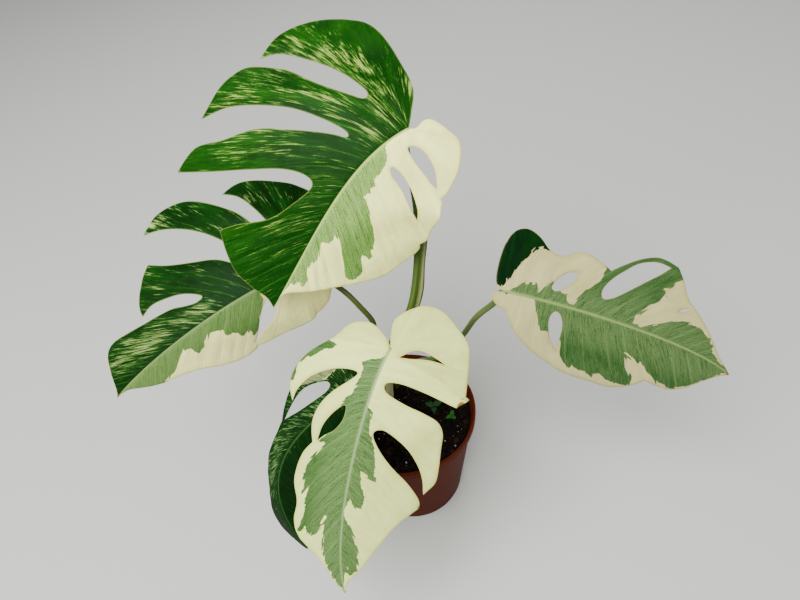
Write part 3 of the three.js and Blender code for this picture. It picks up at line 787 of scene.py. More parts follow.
@dataclass(frozen=True)
class Leaf:
    """One leaf blade: its midrib in space, its flat outline, and its marks in flat millimetres.

    Flat coordinates run along the midrib from the stalk and across it, negative on the left half
    as seen from above with the tip pointing down. The midrib is a cubic curve, and the folds are
    in degrees at its two ends. The margin is drawn in strokes from corner to corner, each from where
    the one before it ends. Greens and greys outline the tissues, flecks and burns are patches.
    Each relief is a height and a half width, and the veins' lines fade out over the veins' reach.
    """

    name: str
    slot: str
    rib: tuple[Triple, Triple, Triple, Triple]
    length: float
    face: tuple[Triple, Triple]
    fold_left: Pair
    fold_right: Pair
    droop: Pair
    margin: tuple[tuple[Pair, ...], ...]
    holes: tuple[tuple[Pair, ...], ...]
    finish: LeafFinish
    veins: Veins
    greens: tuple[tuple[Pair, ...], ...] = ()
    greys: tuple[tuple[Pair, ...], ...] = ()
    flecks: tuple[Blob, ...] = ()
    burns: tuple[Blob, ...] = ()
    pleat: Pair = (0.7, 0.7)
    wave: float = 1.4
    rib_width: Pair = (1.5, 0.5)
    rib_relief: Pair = (1.1, 1.5)
    vein_relief: Pair = (0.25, 0.9)
    step: float = 1.35
    near_rows: Triple = (0.0, 0.55, 1.15)
    clearance: float = 0.55
    thickness: float = 0.6
    rim_share: float = 0.55
    bulge: float = 0.22
    groove_depth: float = 0.5
    groove_width: float = 1.6
    ripple: float = 0.1
    vein_reach: Pair = (75, 15)

    def frames(self, along: np.ndarray) -> tuple[np.ndarray, ...]:
        """Gives the midrib's frames.

        Args:
            along: Flat distances along the midrib.

        Returns:
            The shares of its length, and its points, directions, upward and sideward vectors.
        """
        share = np.clip(along / self.length, 0, 1)
        u, v = share[:, None], 1 - share[:, None]
        a, b, c, d = np.array(self.rib, float)
        ahead = unit(v * v * (b - a) + 2 * u * v * (c - b) + u * u * (d - c))
        centre = v**3 * a + 3 * v * v * u * b + 3 * v * u * u * c + u**3 * d
        centre = centre + ahead * (along - share * self.length)[:, None]
        base, tip = unit(np.array(self.face, float))
        looks = base * v + tip * u
        up = unit(looks - ahead * (looks * ahead).sum(axis=1, keepdims=True))
        return share, centre, ahead, up, np.cross(up, ahead)

    def points(self, flat: np.ndarray) -> np.ndarray:
        """Bends and folds flat points into the blade's middle surface.

        Args:
            flat: Flat points.

        Returns:
            Their places in the frame, in millimetres.
        """
        share, centre, _, up, across = self.frames(flat[:, 0])
        left = flat[:, 1] < 0
        base = np.where(left, self.fold_left[0], self.fold_right[0])
        tip = np.where(left, self.fold_left[1], self.fold_right[1])
        start = np.radians(base + (tip - base) * share)
        curl = np.where(left, self.droop[0], self.droop[1]) / 1000
        end = start - curl * np.abs(flat[:, 1])
        out = np.sign(flat[:, 1]) * (np.sin(start) - np.sin(end)) / curl
        rise = (np.cos(end) - np.cos(start)) / curl
        return centre + across * out[:, None] + up * rise[:, None]

    def normals(self, flat: np.ndarray) -> np.ndarray:
        """Gives the way that the upper face looks, turned evenly from half to half at the midrib.

        Args:
            flat: Flat points.

        Returns:
            A unit vector for each.
        """
        dx, dy = np.array([0.5, 0]), np.array([0, 0.25])
        ahead = self.points(flat + dx) - self.points(flat - dx)
        side = self.points(flat + dy) - self.points(flat - dy)
        own = unit(np.cross(ahead, side))
        up = self.frames(flat[:, 0])[3]
        share = ease(0.3, 2.5, np.abs(flat[:, 1]))[:, None]
        return unit(up * (1 - share) + own * share)

    def rings(self) -> list[np.ndarray]:
        """Draws the flat margin and the holes, with points at the mesh's own spacing.

        Returns:
            The rings, the margin first.
        """
        before = [self.margin[-1], *self.margin]
        strokes = [(last[-1], *stroke) for last, stroke in zip(before, self.margin)]
        strokes += [(*hole, hole[0]) for hole in self.holes]
        drawn = [evenly(smooth_curve(stroke, Ends.DOUBLED), self.step)[:-1] for stroke in strokes]
        parts = len(self.margin)
        return [np.vstack(drawn[:parts]), *drawn[parts:]]

    def triangles(self) -> tuple[np.ndarray, list[list[int]], list[np.ndarray]]:
        """Fills the outline with even triangles.

        Returns:
            The flat points, the triangles and the rings.
        """
        rings = self.rings()
        low, high = rings[0].min(axis=0), rings[0].max(axis=0)
        row_step = self.step * math.sqrt(3) / 2
        onward = np.arange(self.near_rows[-1] + row_step, max(high[1], -low[1]), row_step)
        rows = [*self.near_rows, *onward]
        lattice = []
        for number, row in enumerate(rows):
            xs = np.arange(low[0], high[0], self.step) + (number % 2) * self.step / 2
            for y in {row, -row}:
                lattice.append(np.column_stack([xs, np.full(len(xs), y)]))
        inner = np.vstack(lattice)
        inner = inner[is_inside(inner, rings)]
        inner = inner[edge_distance(inner, rings) > self.clearance * self.step]
        edges = []
        start = 0
        for ring in rings:
            edges += [(start + i, start + (i + 1) % len(ring)) for i in range(len(ring))]
            start += len(ring)
        places = [Vector(place) for place in np.vstack([*rings, inner]).tolist()]
        flat, _, faces, *_ = geometry.delaunay_2d_cdt(places, edges, [], 0, 1e-4)
        flat = np.array([tuple(place) for place in flat])
        corners = np.array([list(face) for face in faces])
        kept = corners[is_inside(flat[corners].mean(axis=1), rings)]
        return flat, kept.tolist(), rings

    def lift(self, flat: np.ndarray, place: np.ndarray, gap: np.ndarray) -> np.ndarray:
        """Raises the blade between its side veins and waves it a little.

        Args:
            flat: Flat points.
            place: The vein through each point.
            gap: Each point's distance to the margin.

        Returns:
            The height above the middle surface, in millimetres.
        """
        x, y = flat.T
        out = np.abs(y)
        seed = self.finish.seed
        pleat = np.where(y < 0, self.pleat[0], self.pleat[1])
        fold = 0.5 - 0.5 * np.cos(2 * np.pi * self.veins.phase(place))
        fold *= 0.75 + 0.25 * np.sin(place / 17 + seed)
        height = pleat * fold * ease(3, 18, out) * (0.45 + 0.55 * ease(0, 12, gap))
        wave = np.sin(x / 21 + seed) * np.sin(out / 27 + 2 * seed)
        wave += 0.5 * np.sin((x + 1.4 * y) / 12 + 3 * seed)
        height += self.wave * wave * ease(4, 45, out)
        height += self.ripple * np.sin(x / 2.9 + 2 * np.sin(y / 4.1)) * np.sin(y / 3.3 + seed)
        groove = self.groove_depth * np.exp(-((y / self.groove_width) ** 2))
        return height - groove * ease(0, 12, self.length - x)

    def ridge(self, flat: np.ndarray, place: np.ndarray, spread: np.ndarray) -> np.ndarray:
        """Gives how far the midrib and the side veins stand out below the blade.

        Args:
            flat: Flat points.
            place: The vein through each point.
            spread: How far apart the veins are there.

        Returns:
            The heights, in millimetres.
        """
        out = np.abs(flat[:, 1])
        phase = self.veins.phase(place)
        aside = np.abs(phase - np.round(phase)) * self.veins.spacing * spread
        taper = 1 - 0.75 * np.clip(flat[:, 0] / self.length, 0, 1)
        rib = self.rib_relief[0] * np.exp(-((out / self.rib_relief[1]) ** 2))
        vein = self.vein_relief[0] * np.exp(-((aside / self.vein_relief[1]) ** 2))
        return taper * (rib + vein * ease(40, 8, out))

    def shell(self, flat: np.ndarray, triangles: list[list[int]]) -> tuple[Faces, list[int], Edges]:
        """Lays the triangles twice, upper face up and underside down.

        Args:
            flat: Flat points.
            triangles: The triangles, as numbers of points.

        Returns:
            The faces, their slots and the edges of the rim.
        """
        count = len(flat)
        faces: Faces = []
        slots: list[int] = []
        rim: dict[tuple[int, int], None] = {}
        for a, b, c in triangles:
            p, q, r = flat[a], flat[b], flat[c]
            if (q[0] - p[0]) * (r[1] - p[1]) < (r[0] - p[0]) * (q[1] - p[1]):
                b, c = c, b
            faces += [(a, b, c), (a + count, c + count, b + count)]
            slots += [0, 1]
            for edge in ((a, b), (b, c), (c, a)):
                if edge[::-1] in rim:
                    del rim[edge[::-1]]
                else:
                    rim[edge] = None
        return faces, slots, list(rim)

    def outward(self, flat: np.ndarray, rim: Edges) -> np.ndarray:
        """Gives the flat way out of the blade at the ends of its rim's edges.

        Args:
            flat: Flat points.
            rim: The edges of the rim.

        Returns:
            For each flat point a unit vector, or zero off the rim.
        """
        ways = np.zeros((len(flat), 2))
        for a, b in rim:
            ahead = flat[b] - flat[a]
            ways[[a, b]] += np.array([ahead[1], -ahead[0]]) / (np.linalg.norm(ahead) + 1e-9)
        return ways / (np.linalg.norm(ways, axis=1, keepdims=True) + 1e-9)

    def build(self) -> Piece:
        """Makes the blade as a thin closed piece with a rounded rim, and stores its marks.

        Returns:
            The piece.
        """
        flat, triangles, rings = self.triangles()
        place, reach = self.veins.locate(flat, self.length)
        spread = self.spread(flat, place)
        gap = edge_distance(flat, rings)
        normal = self.normals(flat)
        middle = self.points(flat) + normal * self.lift(flat, place, gap)[:, None]
        half = self.thickness / 2 * (self.rim_share + (1 - self.rim_share) * ease(0, 1.2, gap))
        ridge = self.ridge(flat, place, spread) * ease(0.2, 3, gap)
        top = middle + normal * half[:, None]
        bottom = middle - normal * (half + ridge)[:, None]

        faces, slots, border = self.shell(flat, triangles)
        rim = sorted({vertex for edge in border for vertex in edge})
        proud = flat[rim] + self.bulge * self.outward(flat, border)[rim]
        rounded = self.points(proud) + normal[rim] * self.lift(proud, place[rim], gap[rim])[:, None]
        count = len(flat)
        round_of = {vertex: 2 * count + number for number, vertex in enumerate(rim)}
        for a, b in border:
            faces += [(a, round_of[a], round_of[b], b)]
            faces += [(round_of[a], a + count, b + count, round_of[b])]
            slots += [0, 1]
        points = np.vstack([top, bottom, rounded])
        materials = [self.finish.material(face) for face in Face]
        piece = make_piece(f"{self.name}_blade", points, faces, materials, slots)
        order = np.concatenate([np.arange(count), np.arange(count), rim]).astype(int)
        self.store_marks(piece, flat, place, reach, spread, gap, order)
        mount_piece(piece, self.name)
        return piece

    def spread(self, flat: np.ndarray, place: np.ndarray) -> np.ndarray:
        """Gives how many millimetres apart two veins are whose places differ by one.

        Args:
            flat: Flat points.
            place: The vein through each point.

        Returns:
            The distance at each point.
        """
        shift = 0.5
        ahead, _ = self.veins.locate(flat + np.array([shift, 0]), self.length)
        aside, _ = self.veins.locate(flat + np.array([0, shift]), self.length)
        slope = np.hypot(ahead - place, aside - place) / shift
        return np.clip(1 / np.maximum(slope, 0.05), 0.25, 12)

    def store_marks(
        self,
        piece: Piece,
        flat: np.ndarray,
        place: np.ndarray,
        reach: np.ndarray,
        spread: np.ndarray,
        gap: np.ndarray,
        order: np.ndarray,
    ) -> None:
        """Stores what the leaf's material reads: where the veins run and which tissue is where.

        Args:
            piece: The blade's object.
            flat: Flat points.
            place: The vein through each point.
            reach: How far out along its vein each point lies.
            spread: How far apart the veins are there.
            gap: Each point's distance to the margin.
            order: For each vertex of the piece, its flat point.
        """
        finish = self.finish
        x, y = flat.T
        out = np.abs(y)
        side = SIDE_SHIFT * np.sign(y) + finish.seed
        start, end = self.rib_width
        width = start + (end - start) * np.clip(x / self.length, 0, 1)
        rib_share = out / width + 6 * (1 - ease(-6, 0, x))
        strong = ease(0, 6, out) * ease(*self.vein_reach, reach)
        fleck = FLECK_SHARE * patchwork(self.flecks, flat)
        layers = {
            "flow": (place / finish.fleck_width, reach / finish.fleck_length, side),
            "zones": (depth_inside(flat, self.greens), depth_inside(flat, self.greys), fleck),
            "place": (rib_share, gap, 0.35 + 0.65 * ease(8, 60, out)),
            "vein": (self.veins.phase(place), spread * self.veins.spacing / USUAL_SPACING, strong),
            "flat": (x, y, patchwork(self.burns, flat)),
        }
        for name, parts in layers.items():
            add_vectors(piece, name, np.column_stack(parts)[order])


LEFT_HALF = ((-70, 0), (220, 0), (220, -150), (-70, -150))
WHOLE_BUT_UPPER_LOBE = (
    (-90, 160), (240, 160), (240, -90), (66, -90), (56, -44), (48, -38), (40, -33), (32, -29), (24, -24),
    (17, -27), (8, -33), (-4, -60), (-90, -90),
)

TOP = Leaf(
    name="leaf_top",
    slot="leaf_green",
    rib=((36, 38, 362), (-9, 24, 353), (-39, 12, 305), (-76, 0, 262)),
    length=158,
    face=((0.25, -0.72, 0.65), (0.15, -0.8, 0.55)),
    fold_left=(-8, -12),
    fold_right=(-18, -18),
    droop=(3, 4),
    margin=(
        ((-7, -9), (-16, -23), (-18, -44), (-17, -65), (-12, -80), (0, -91), (14, -102), (28, -107),
         (41, -104)),
        ((33, -96), (25, -80), (17, -62), (12, -46), (10, -35), (14, -33), (20, -42), (27, -56),
         (31, -67), (35, -81), (39, -90), (48, -106), (56, -112), (66, -115), (85, -114)),
        ((70, -100), (56, -77), (45, -55), (35, -26), (37, -20), (43, -30), (57, -52), (70, -73),
         (87, -90), (101, -106), (121, -111)),
        ((106, -86), (90, -61), (77, -40), (72, -25), (76, -18), (92, -23), (110, -33), (126, -52),
         (137, -62)),
        ((147, -52), (155, -38), (158, -22), (158, -8), (162, 0)),
        ((151, 1), (147, 5), (141, 20), (133, 36), (125, 54), (115, 70), (103, 77), (90, 83), (80, 84),
         (74, 80)),
        ((64, 83), (50, 78), (30, 74), (8, 68), (-2, 61), (-3, 56)),
        ((-9, 54), (-18, 46), (-25, 36), (-29, 24), (-25, 14), (-18, 3), (-12, 0), (-5, 2), (0, 0)),
    ),
    holes=(
        ((-3, 48), (-6, 36), (-5, 22), (0, 13), (7, 11), (7, 22), (4, 31), (0, 41)),
        ((49, 61), (37, 53), (27, 39), (24, 24), (27, 15), (32, 20), (35, 34), (42, 48)),
    ),
    finish=LeafFinish(
        "leaf_top", grey="#6f9444", grey_light="#97b463", fleck_width=1.2, fleck_length=18, seed=1.7
    ),
    greens=(LEFT_HALF,),
    greys=(
        ((18, 0), (22, 2), (25, 7), (30, 11), (39, 13), (44, 12), (48, 17), (54, 16), (60, 15), (69, 26),
         (81, 36), (88, 42), (101, 48), (105, 47), (104, 42), (111, 45), (117, 48), (122, 47), (125, 43),
         (123, 38), (113, 31), (98, 18), (94, 13), (102, 15), (105, 6), (115, 11), (124, 8), (133, 11),
         (139, 11), (137, 7), (141, 3), (150, 0)),
    ),
    flecks=(
        Blob((33, -95), (12, 14), 0.8), Blob((18, -76), (12, 17), 0.8), Blob((6, -52), (11, 18), 0.85),
        Blob((4, -27), (10, 14), 0.6), Blob((-15, -24), (4, 24), 0.9), Blob((22, -13), (17, 10), 0.55),
        Blob((31, -45), (9, 18), 0.6), Blob((50, -66), (12, 18), 0.45), Blob((68, -99), (15, 15), 0.8),
        Blob((62, -58), (12, 22), 0.5), Blob((88, -84), (16, 14), 0.35), Blob((108, -24), (26, 18), 0.35),
        Blob((86, -9), (20, 9), 0.3), Blob((-12, -74), (11, 22), -0.9),
    ),
    veins=Veins((12, 24, 36, 52, 68), (-12, 26, 38, 50, 65), bend=0.3),
    pleat=(0.4, 0.55),
    wave=1.2,
    rib_width=(0.85, 0.4),
)

LEFT = Leaf(
    name="leaf_left",
    slot="leaf_green",
    rib=((-50, 28, 267), (-95, 19, 272), (-187, 1, 224), (-216, -10, 201)),
    length=180,
    face=((0.1, -0.66, 0.75), (0, -0.7, 0.7)),
    fold_left=(-6, -10),
    fold_right=(-44, -34),
    droop=(3, 6),
    margin=(
        ((-8, -5), (-20, -19), (-27, -38), (-22, -55), (-8, -68), (8, -78), (24, -87), (33, -89),
         (42, -86)),
        ((33, -76), (26, -60), (20, -42), (15, -25), (20, -22), (27, -36), (35, -58), (47, -77),
         (62, -96), (74, -103), (86, -103), (98, -95)),
        ((84, -87), (68, -71), (54, -50), (44, -28), (50, -25), (62, -37), (78, -47), (92, -57),
         (103, -68)),
        ((112, -57), (120, -45), (122, -34)),
        ((113, -37), (102, -34), (90, -28), (80, -18), (85, -16), (93, -19), (103, -24), (122, -28),
         (136, -31), (152, -34), (163, -30), (170, -18), (176, -6), (182, 0)),
        ((174, 1), (166, 4), (154, 14), (143, 21), (128, 27), (115, 36), (104, 47), (92, 54), (82, 55),
         (77, 52)),
        ((68, 56), (53, 57), (40, 58), (22, 56), (0, 51), (-10, 40), (-14, 25), (-16, 12), (-11, 1),
         (-5, 2), (0, 0)),
    ),
    holes=(((76, 47), (68, 38), (58, 25), (46, 13), (38, 12), (38, 20), (48, 31), (62, 40)),),
    finish=LeafFinish(
        "leaf_left",
        deep="#041b03",
        fresh="#0a3006",
        fleck_green="#244a1a",
        fleck="#566c34",
        fleck_pale="#8f985e",
        cream="#d8d890",
        cream_warm="#c2b970",
        grey="#4f6a35",
        grey_light="#6c8049",
        rib="#66794a",
        fleck_width=1.5,
        fleck_length=19,
        seed=4.1,
    ),
    greens=(LEFT_HALF,),
    greys=(
        ((44, 0), (46, 11), (58, 25), (66, 35), (71, 38), (71, 29), (77, 32), (77, 26), (83, 21), (85, 22),
         (83, 16), (91, 11), (99, 16), (107, 19), (108, 11), (111, 9), (120, 14), (130, 19), (142, 21),
         (160, 40), (200, 20), (190, 0)),
    ),
    flecks=(
        Blob((150, -20), (26, 13), 0.75), Blob((120, -13), (24, 9), 0.75), Blob((86, -8), (16, 8), 0.75),
        Blob((112, -48), (15, 16), 0.4), Blob((80, -62), (26, 22), 0.25), Blob((90, -99), (11, 6), 1.0),
        Blob((66, -90), (13, 9), 0.4), Blob((18, -70), (28, 20), 0.28), Blob((36, -40), (20, 26), 0.2),
    ),
    burns=(Blob((181, 0), (4, 2), 1.0), Blob((77, 53), (2, 2), 0.9)),
    veins=Veins((10, 22, 45, 62, 70), (0, 38, 42, 50, 62), bend=0.35),
    pleat=(0.4, 0.28),
    wave=1.2,
    rib_width=(0.9, 0.4),
)

FRONT = Leaf(
    name="leaf_front",
    slot="leaf_cream",
    rib=((2, -60, 262), (-18, -94, 264), (-65, -118, 137), (-62, -142, 92)),
    length=200,
    face=((0, -0.55, 0.85), (-0.1, -0.85, 0.5)),
    fold_left=(-8, -14),
    fold_right=(-4, -10),
    droop=(6, 5),
    margin=(
        ((-8, -8), (-15, -22), (-11, -35), (2, -39), (14, -41), (28, -48), (42, -55), (56, -60),
         (67, -60), (75, -55)),
        ((66, -53), (53, -45), (41, -32), (35, -20), (35, -13), (42, -16), (56, -26), (68, -32),
         (80, -34), (92, -31)),
        ((101, -37), (112, -41), (124, -43), (137, -39), (150, -40), (159, -35), (167, -23), (176, -13),
         (190, -6), (201, 0)),
        ((191, 3), (181, 12), (168, 21), (152, 31), (138, 42), (127, 55)),
        ((118, 52), (106, 42), (92, 26), (79, 13), (71, 9), (68, 16), (76, 32), (89, 44), (101, 51),
         (114, 55)),
        ((104, 61), (92, 60), (76, 57), (62, 54), (52, 47), (48, 36), (46, 24), (41, 9), (34, 7),
         (30, 16), (30, 30), (32, 46), (34, 56)),
        ((24, 60),),
        ((8, 62), (-9, 58), (-24, 52), (-38, 45), (-46, 32), (-51, 17), (-47, 5), (-37, -3), (-25, -8),
         (-12, -5), (0, 0)),
    ),
    holes=(
        ((90, -28), (78, -26), (66, -20), (60, -14), (69, -13), (78, -17), (84, -23)),
        ((-13, 38), (-12, 20), (-5, 12), (5, 8), (0, 14), (-8, 26)),
    ),
    finish=LeafFinish(
        "leaf_front",
        grey="#3b572a",
        grey_light="#627a48",
        grey_line="#1f3f16",
        cream="#bfca78",
        cream_warm="#b0b062",
        rib="#74895a",
        margin="#9c9450",
        mottle=0.28,
        seed=7.9,
    ),
    greys=(
        ((10, 0), (15, -3), (18, -9), (24, -13), (34, -10), (43, -11), (56, -15), (61, -17), (78, -18),
         (90, -27), (88, -21), (100, -29), (108, -34), (129, -35), (117, -27), (124, -29), (146, -33),
         (155, -35), (150, -29), (155, -26), (151, -20), (136, -13), (155, -14), (165, -14), (175, -11),
         (188, -6), (201, -1), (193, 0), (177, 4), (173, 5), (182, 6), (179, 12), (159, 13), (144, 8),
         (128, 0), (117, 3), (124, 8), (124, 12), (114, 12), (99, 7), (103, 18), (91, 15), (70, 7), (58, 4),
         (54, 0)),
        ((16, -42), (18, -36), (24, -38), (30, -44), (40, -51), (50, -57), (62, -58), (66, -66), (20, -62),
         (10, -50)),
    ),
    burns=(Blob((29, 59), (7.5, 3), 1.25), Blob((126, 55), (3, 2), 0.9), Blob((201, 0), (3, 2), 0.9)),
    veins=Veins((12, 38, 52, 60, 70), (-33, -18, 38, 52, 68), bend=0.6, fan_lean=-140),
    pleat=(0.5, 0.5),
    wave=1.5,
    rib_width=(1.15, 0.45),
)

RIGHT = Leaf(
    name="leaf_right",
    slot="leaf_cream",
    rib=((86, -20, 258), (116, -24, 248), (225, -42, 197), (255, -52, 163)),
    length=196,
    face=((-0.05, -0.6, 0.8), (0.1, -0.7, 0.7)),
    fold_left=(-14, -14),
    fold_right=(-6, -8),
    droop=(10, 3),
    margin=(
        ((-8, -3), (-2, -11), (8, -13), (16, -20), (30, -30), (46, -39), (62, -46), (80, -52), (98, -53),
         (114, -52), (126, -43), (133, -35)),
        ((144, -36), (157, -35), (168, -28), (178, -16), (188, -7), (198, 0)),
        ((180, 6), (170, 14), (160, 23), (150, 31), (141, 38), (135, 52), (131, 60)),
        ((123, 62), (115, 61), (105, 55), (94, 45), (86, 37)),
        ((76, 43), (65, 45), (52, 38), (42, 40), (33, 48), (22, 52), (10, 48), (0, 38), (-4, 26),
         (-6, 12), (-5, 4), (0, 0)),
    ),
    holes=(
        ((65, 29), (57, 26), (49, 18), (46, 11), (50, 9), (57, 14), (63, 21)),
        ((65, -35), (57, -27), (51, -16), (50, -9), (53, -5), (58, -8), (62, -17)),
        ((126, 57), (121, 58), (114, 57), (104, 51), (95, 41), (87, 31), (82, 21), (83, 14), (90, 17),
         (100, 27), (111, 39), (120, 49)),
        ((135, 24), (138, 28.3), (144, 31), (141.5, 27.6)),
    ),
    finish=LeafFinish(
        "leaf_right",
        deep="#031606",
        fresh="#072605",
        fleck_green="#06240a",
        vein="#052006",
        grey="#334d27",
        grey_light="#596d41",
        grey_line="#193612",
        mottle=0.3,
        # Painted shade: the cream and the warm cream are darkened to a dull beige for the shade this blade
        # lies in.
        cream="#9d9868",
        cream_warm="#8e8554",
        rib="#6c7c44",
        margin="#7b6a3a",
        seed=11.3,
    ),
    greens=(
        ((-30, 0), (-1, 4), (2, 8), (8, 11), (13, 18), (17, 24), (24, 30), (29, 37), (36, 40), (42, 40),
         (45, 60), (-30, 60)),
    ),
    greys=(
        ((6, 1), (19, 6), (24, 10), (30, 10), (33, 11), (35, 7), (34, 3), (41, 12), (46, 18), (53, 10),
         (58, 10), (58, 5), (61, 3), (63, 3), (70, 14), (79, 26), (82, 36), (88, 48), (104, 62), (123, 68),
         (138, 64), (137, 52),
         (131, 46), (129, 41), (122, 38), (124, 33), (121, 27), (115, 20), (107, 9), (106, 3), (111, 2),
         (121, 9), (131, 15), (143, 19), (153, 20), (166, 15), (170, 8), (178, 4), (196, 1), (190, -3),
         (182, -12), (168, -26), (157, -33), (144, -34), (130, -27), (121, -21), (120, -24), (109, -20),
         (113, -28), (122, -36), (125, -45), (111, -46), (97, -42), (99, -48), (96, -46), (89, -45),
         (80, -42), (80, -48), (77, -45), (69, -37), (65, -26), (53, -20), (48, -22), (41, -15), (36, -7),
         (34, -1)),
    ),
    flecks=(Blob((20, 30), (70, 70), -1.0),),
    burns=(Blob((197, 0), (4, 3), 1.1),),
    veins=Veins((0, 10, 28, 44, 64), (10, 26, 42, 50, 68), bend=0.4),
    pleat=(0.6, 0.6),
    wave=1.4,
    rib_width=(1.2, 0.45),
)

LOW = Leaf(
    name="leaf_low",
    slot="leaf_green",
    rib=((-22, -30, 190), (-95, -48, 174), (-129, -59, 125), (-101, -84, 53)),
    length=192,
    face=((-0.15, -0.7, 0.7), (0.2, -0.9, 0.3)),
    fold_left=(-28, -56),
    fold_right=(-8, -10),
    droop=(5, 4),
    margin=(
        ((-6, -8), (-5, -22), (2, -37), (15, -47), (30, -49), (46, -43), (58, -35), (67, -27), (72, -22)),
        ((83, -19), (101, -17), (116, -14), (130, -12), (146, -14), (162, -19), (174, -21), (184, -18),
         (191, -9), (195, 0)),
        ((186, 11), (173, 25), (156, 38), (138, 47)),
        ((124, 42), (110, 32), (100, 24), (94, 26), (98, 35), (106, 43), (114, 51)),
        ((102, 56), (86, 55), (74, 52)),
        ((62, 44), (52, 34), (45, 28), (40, 32), (42, 40), (47, 49), (52, 55)),
        ((38, 50), (22, 39), (8, 31), (-3, 24), (-7, 16), (-6, 8), (-3, 3), (0, 0)),
    ),
    holes=(
        ((69, -21), (62, -24), (52, -28), (42, -30), (32, -27), (24, -22), (23, -17), (28, -14), (40, -14),
         (54, -16), (64, -19)),
    ),
    finish=LeafFinish(
        "leaf_low",
        deep="#041904",
        fresh="#0a2c07",
        fleck_green="#1f4019",
        # The pale flecks and the cream are this blade's real marks, darkened by painted shade for the shade
        # of the front leaf above it.
        fleck="#465f34",
        fleck_pale="#6d7f50",
        cream="#8f9668",
        grey="#757b52",
        grey_light="#898b62",
        grey_line="#3b4c2a",
        rib="#24441c",
        vein="#12300e",
        margin="#22391a",
        roughness=0.55,
        fleck_width=1.5,
        seed=15.2,
    ),
    greens=(WHOLE_BUT_UPPER_LOBE,),
    greys=(((-20, -30), (-20, -70), (80, -70), (80, -20)),),
    flecks=(
        Blob((30, -28), (34, 20), 0.8), Blob((90, -10), (32, 9), 0.75), Blob((20, -6), (24, 8), 0.7),
        Blob((132, -8), (30, 8), 0.45), Blob((100, 28), (90, 22), -0.8),
    ),
    veins=Veins((-10, 30, 55, 70, 78), (10, 30, 46, 58, 68), bend=0.4),
    pleat=(0.6, 0.8),
    wave=1.0,
    rib_width=(0.8, 0.4),
)

LEAVES = (TOP, LEFT, FRONT, RIGHT, LOW)


@dataclass(frozen=True)
class StalkFinish:
    """Skin of a living leaf stalk: a smooth waxy rind, ribbed by the strands under it.

    To the eye it is satin, with fine lengthwise stripes. The dead sheath on it is dry and papery.
    """

    name: str
    skin: str
    stripe: str
    foot: str
    sheath: str = "#70724a"
    sheath_rim: str = "#2c3214"
    roughness: float = 0.42
    rib_depth: float = 0.25

    def material(self) -> Material:
        """Builds the material, which reads angle, length and wing from the stalk's vertices.

        Returns:
            The material.
        """
        material, tree = new_material(self.name)
        run = add_node(tree, ATTRIBUTE, {"attribute_name": "run"}, output="Vector")
        stored = add_node(tree, ATTRIBUTE, {"attribute_name": "wing"}, output="Vector")
        wing, rim, foot = add_node(tree, SEPARATE, inputs={0: stored}).node.outputs
        octaves = {"Scale": 1.0, "Detail": 3.0, "Roughness": 0.55}
        strands = add_node(tree, NOISE, inputs={"Vector": run, **octaves})
        stripes = add_node(tree, RANGE, inputs={0: strands, 1: 0.4, 2: 0.62, 4: 0.8})
        layers = [
            (stripes, self.stripe),
            (foot, self.foot),
            (wing, self.sheath),
            (rim, self.sheath_rim),
        ]
        values = {
            "Roughness": self.roughness,
            "Specular IOR Level": 0.12,
            "Subsurface Weight": 0.1,
            "Subsurface Radius": (0.6, 0.8, 0.3),
            "Subsurface Scale": 2 * MM,
        }
        surface(tree, layered(tree, self.skin, layers), values, strands, self.rib_depth, 0.4)
        return material


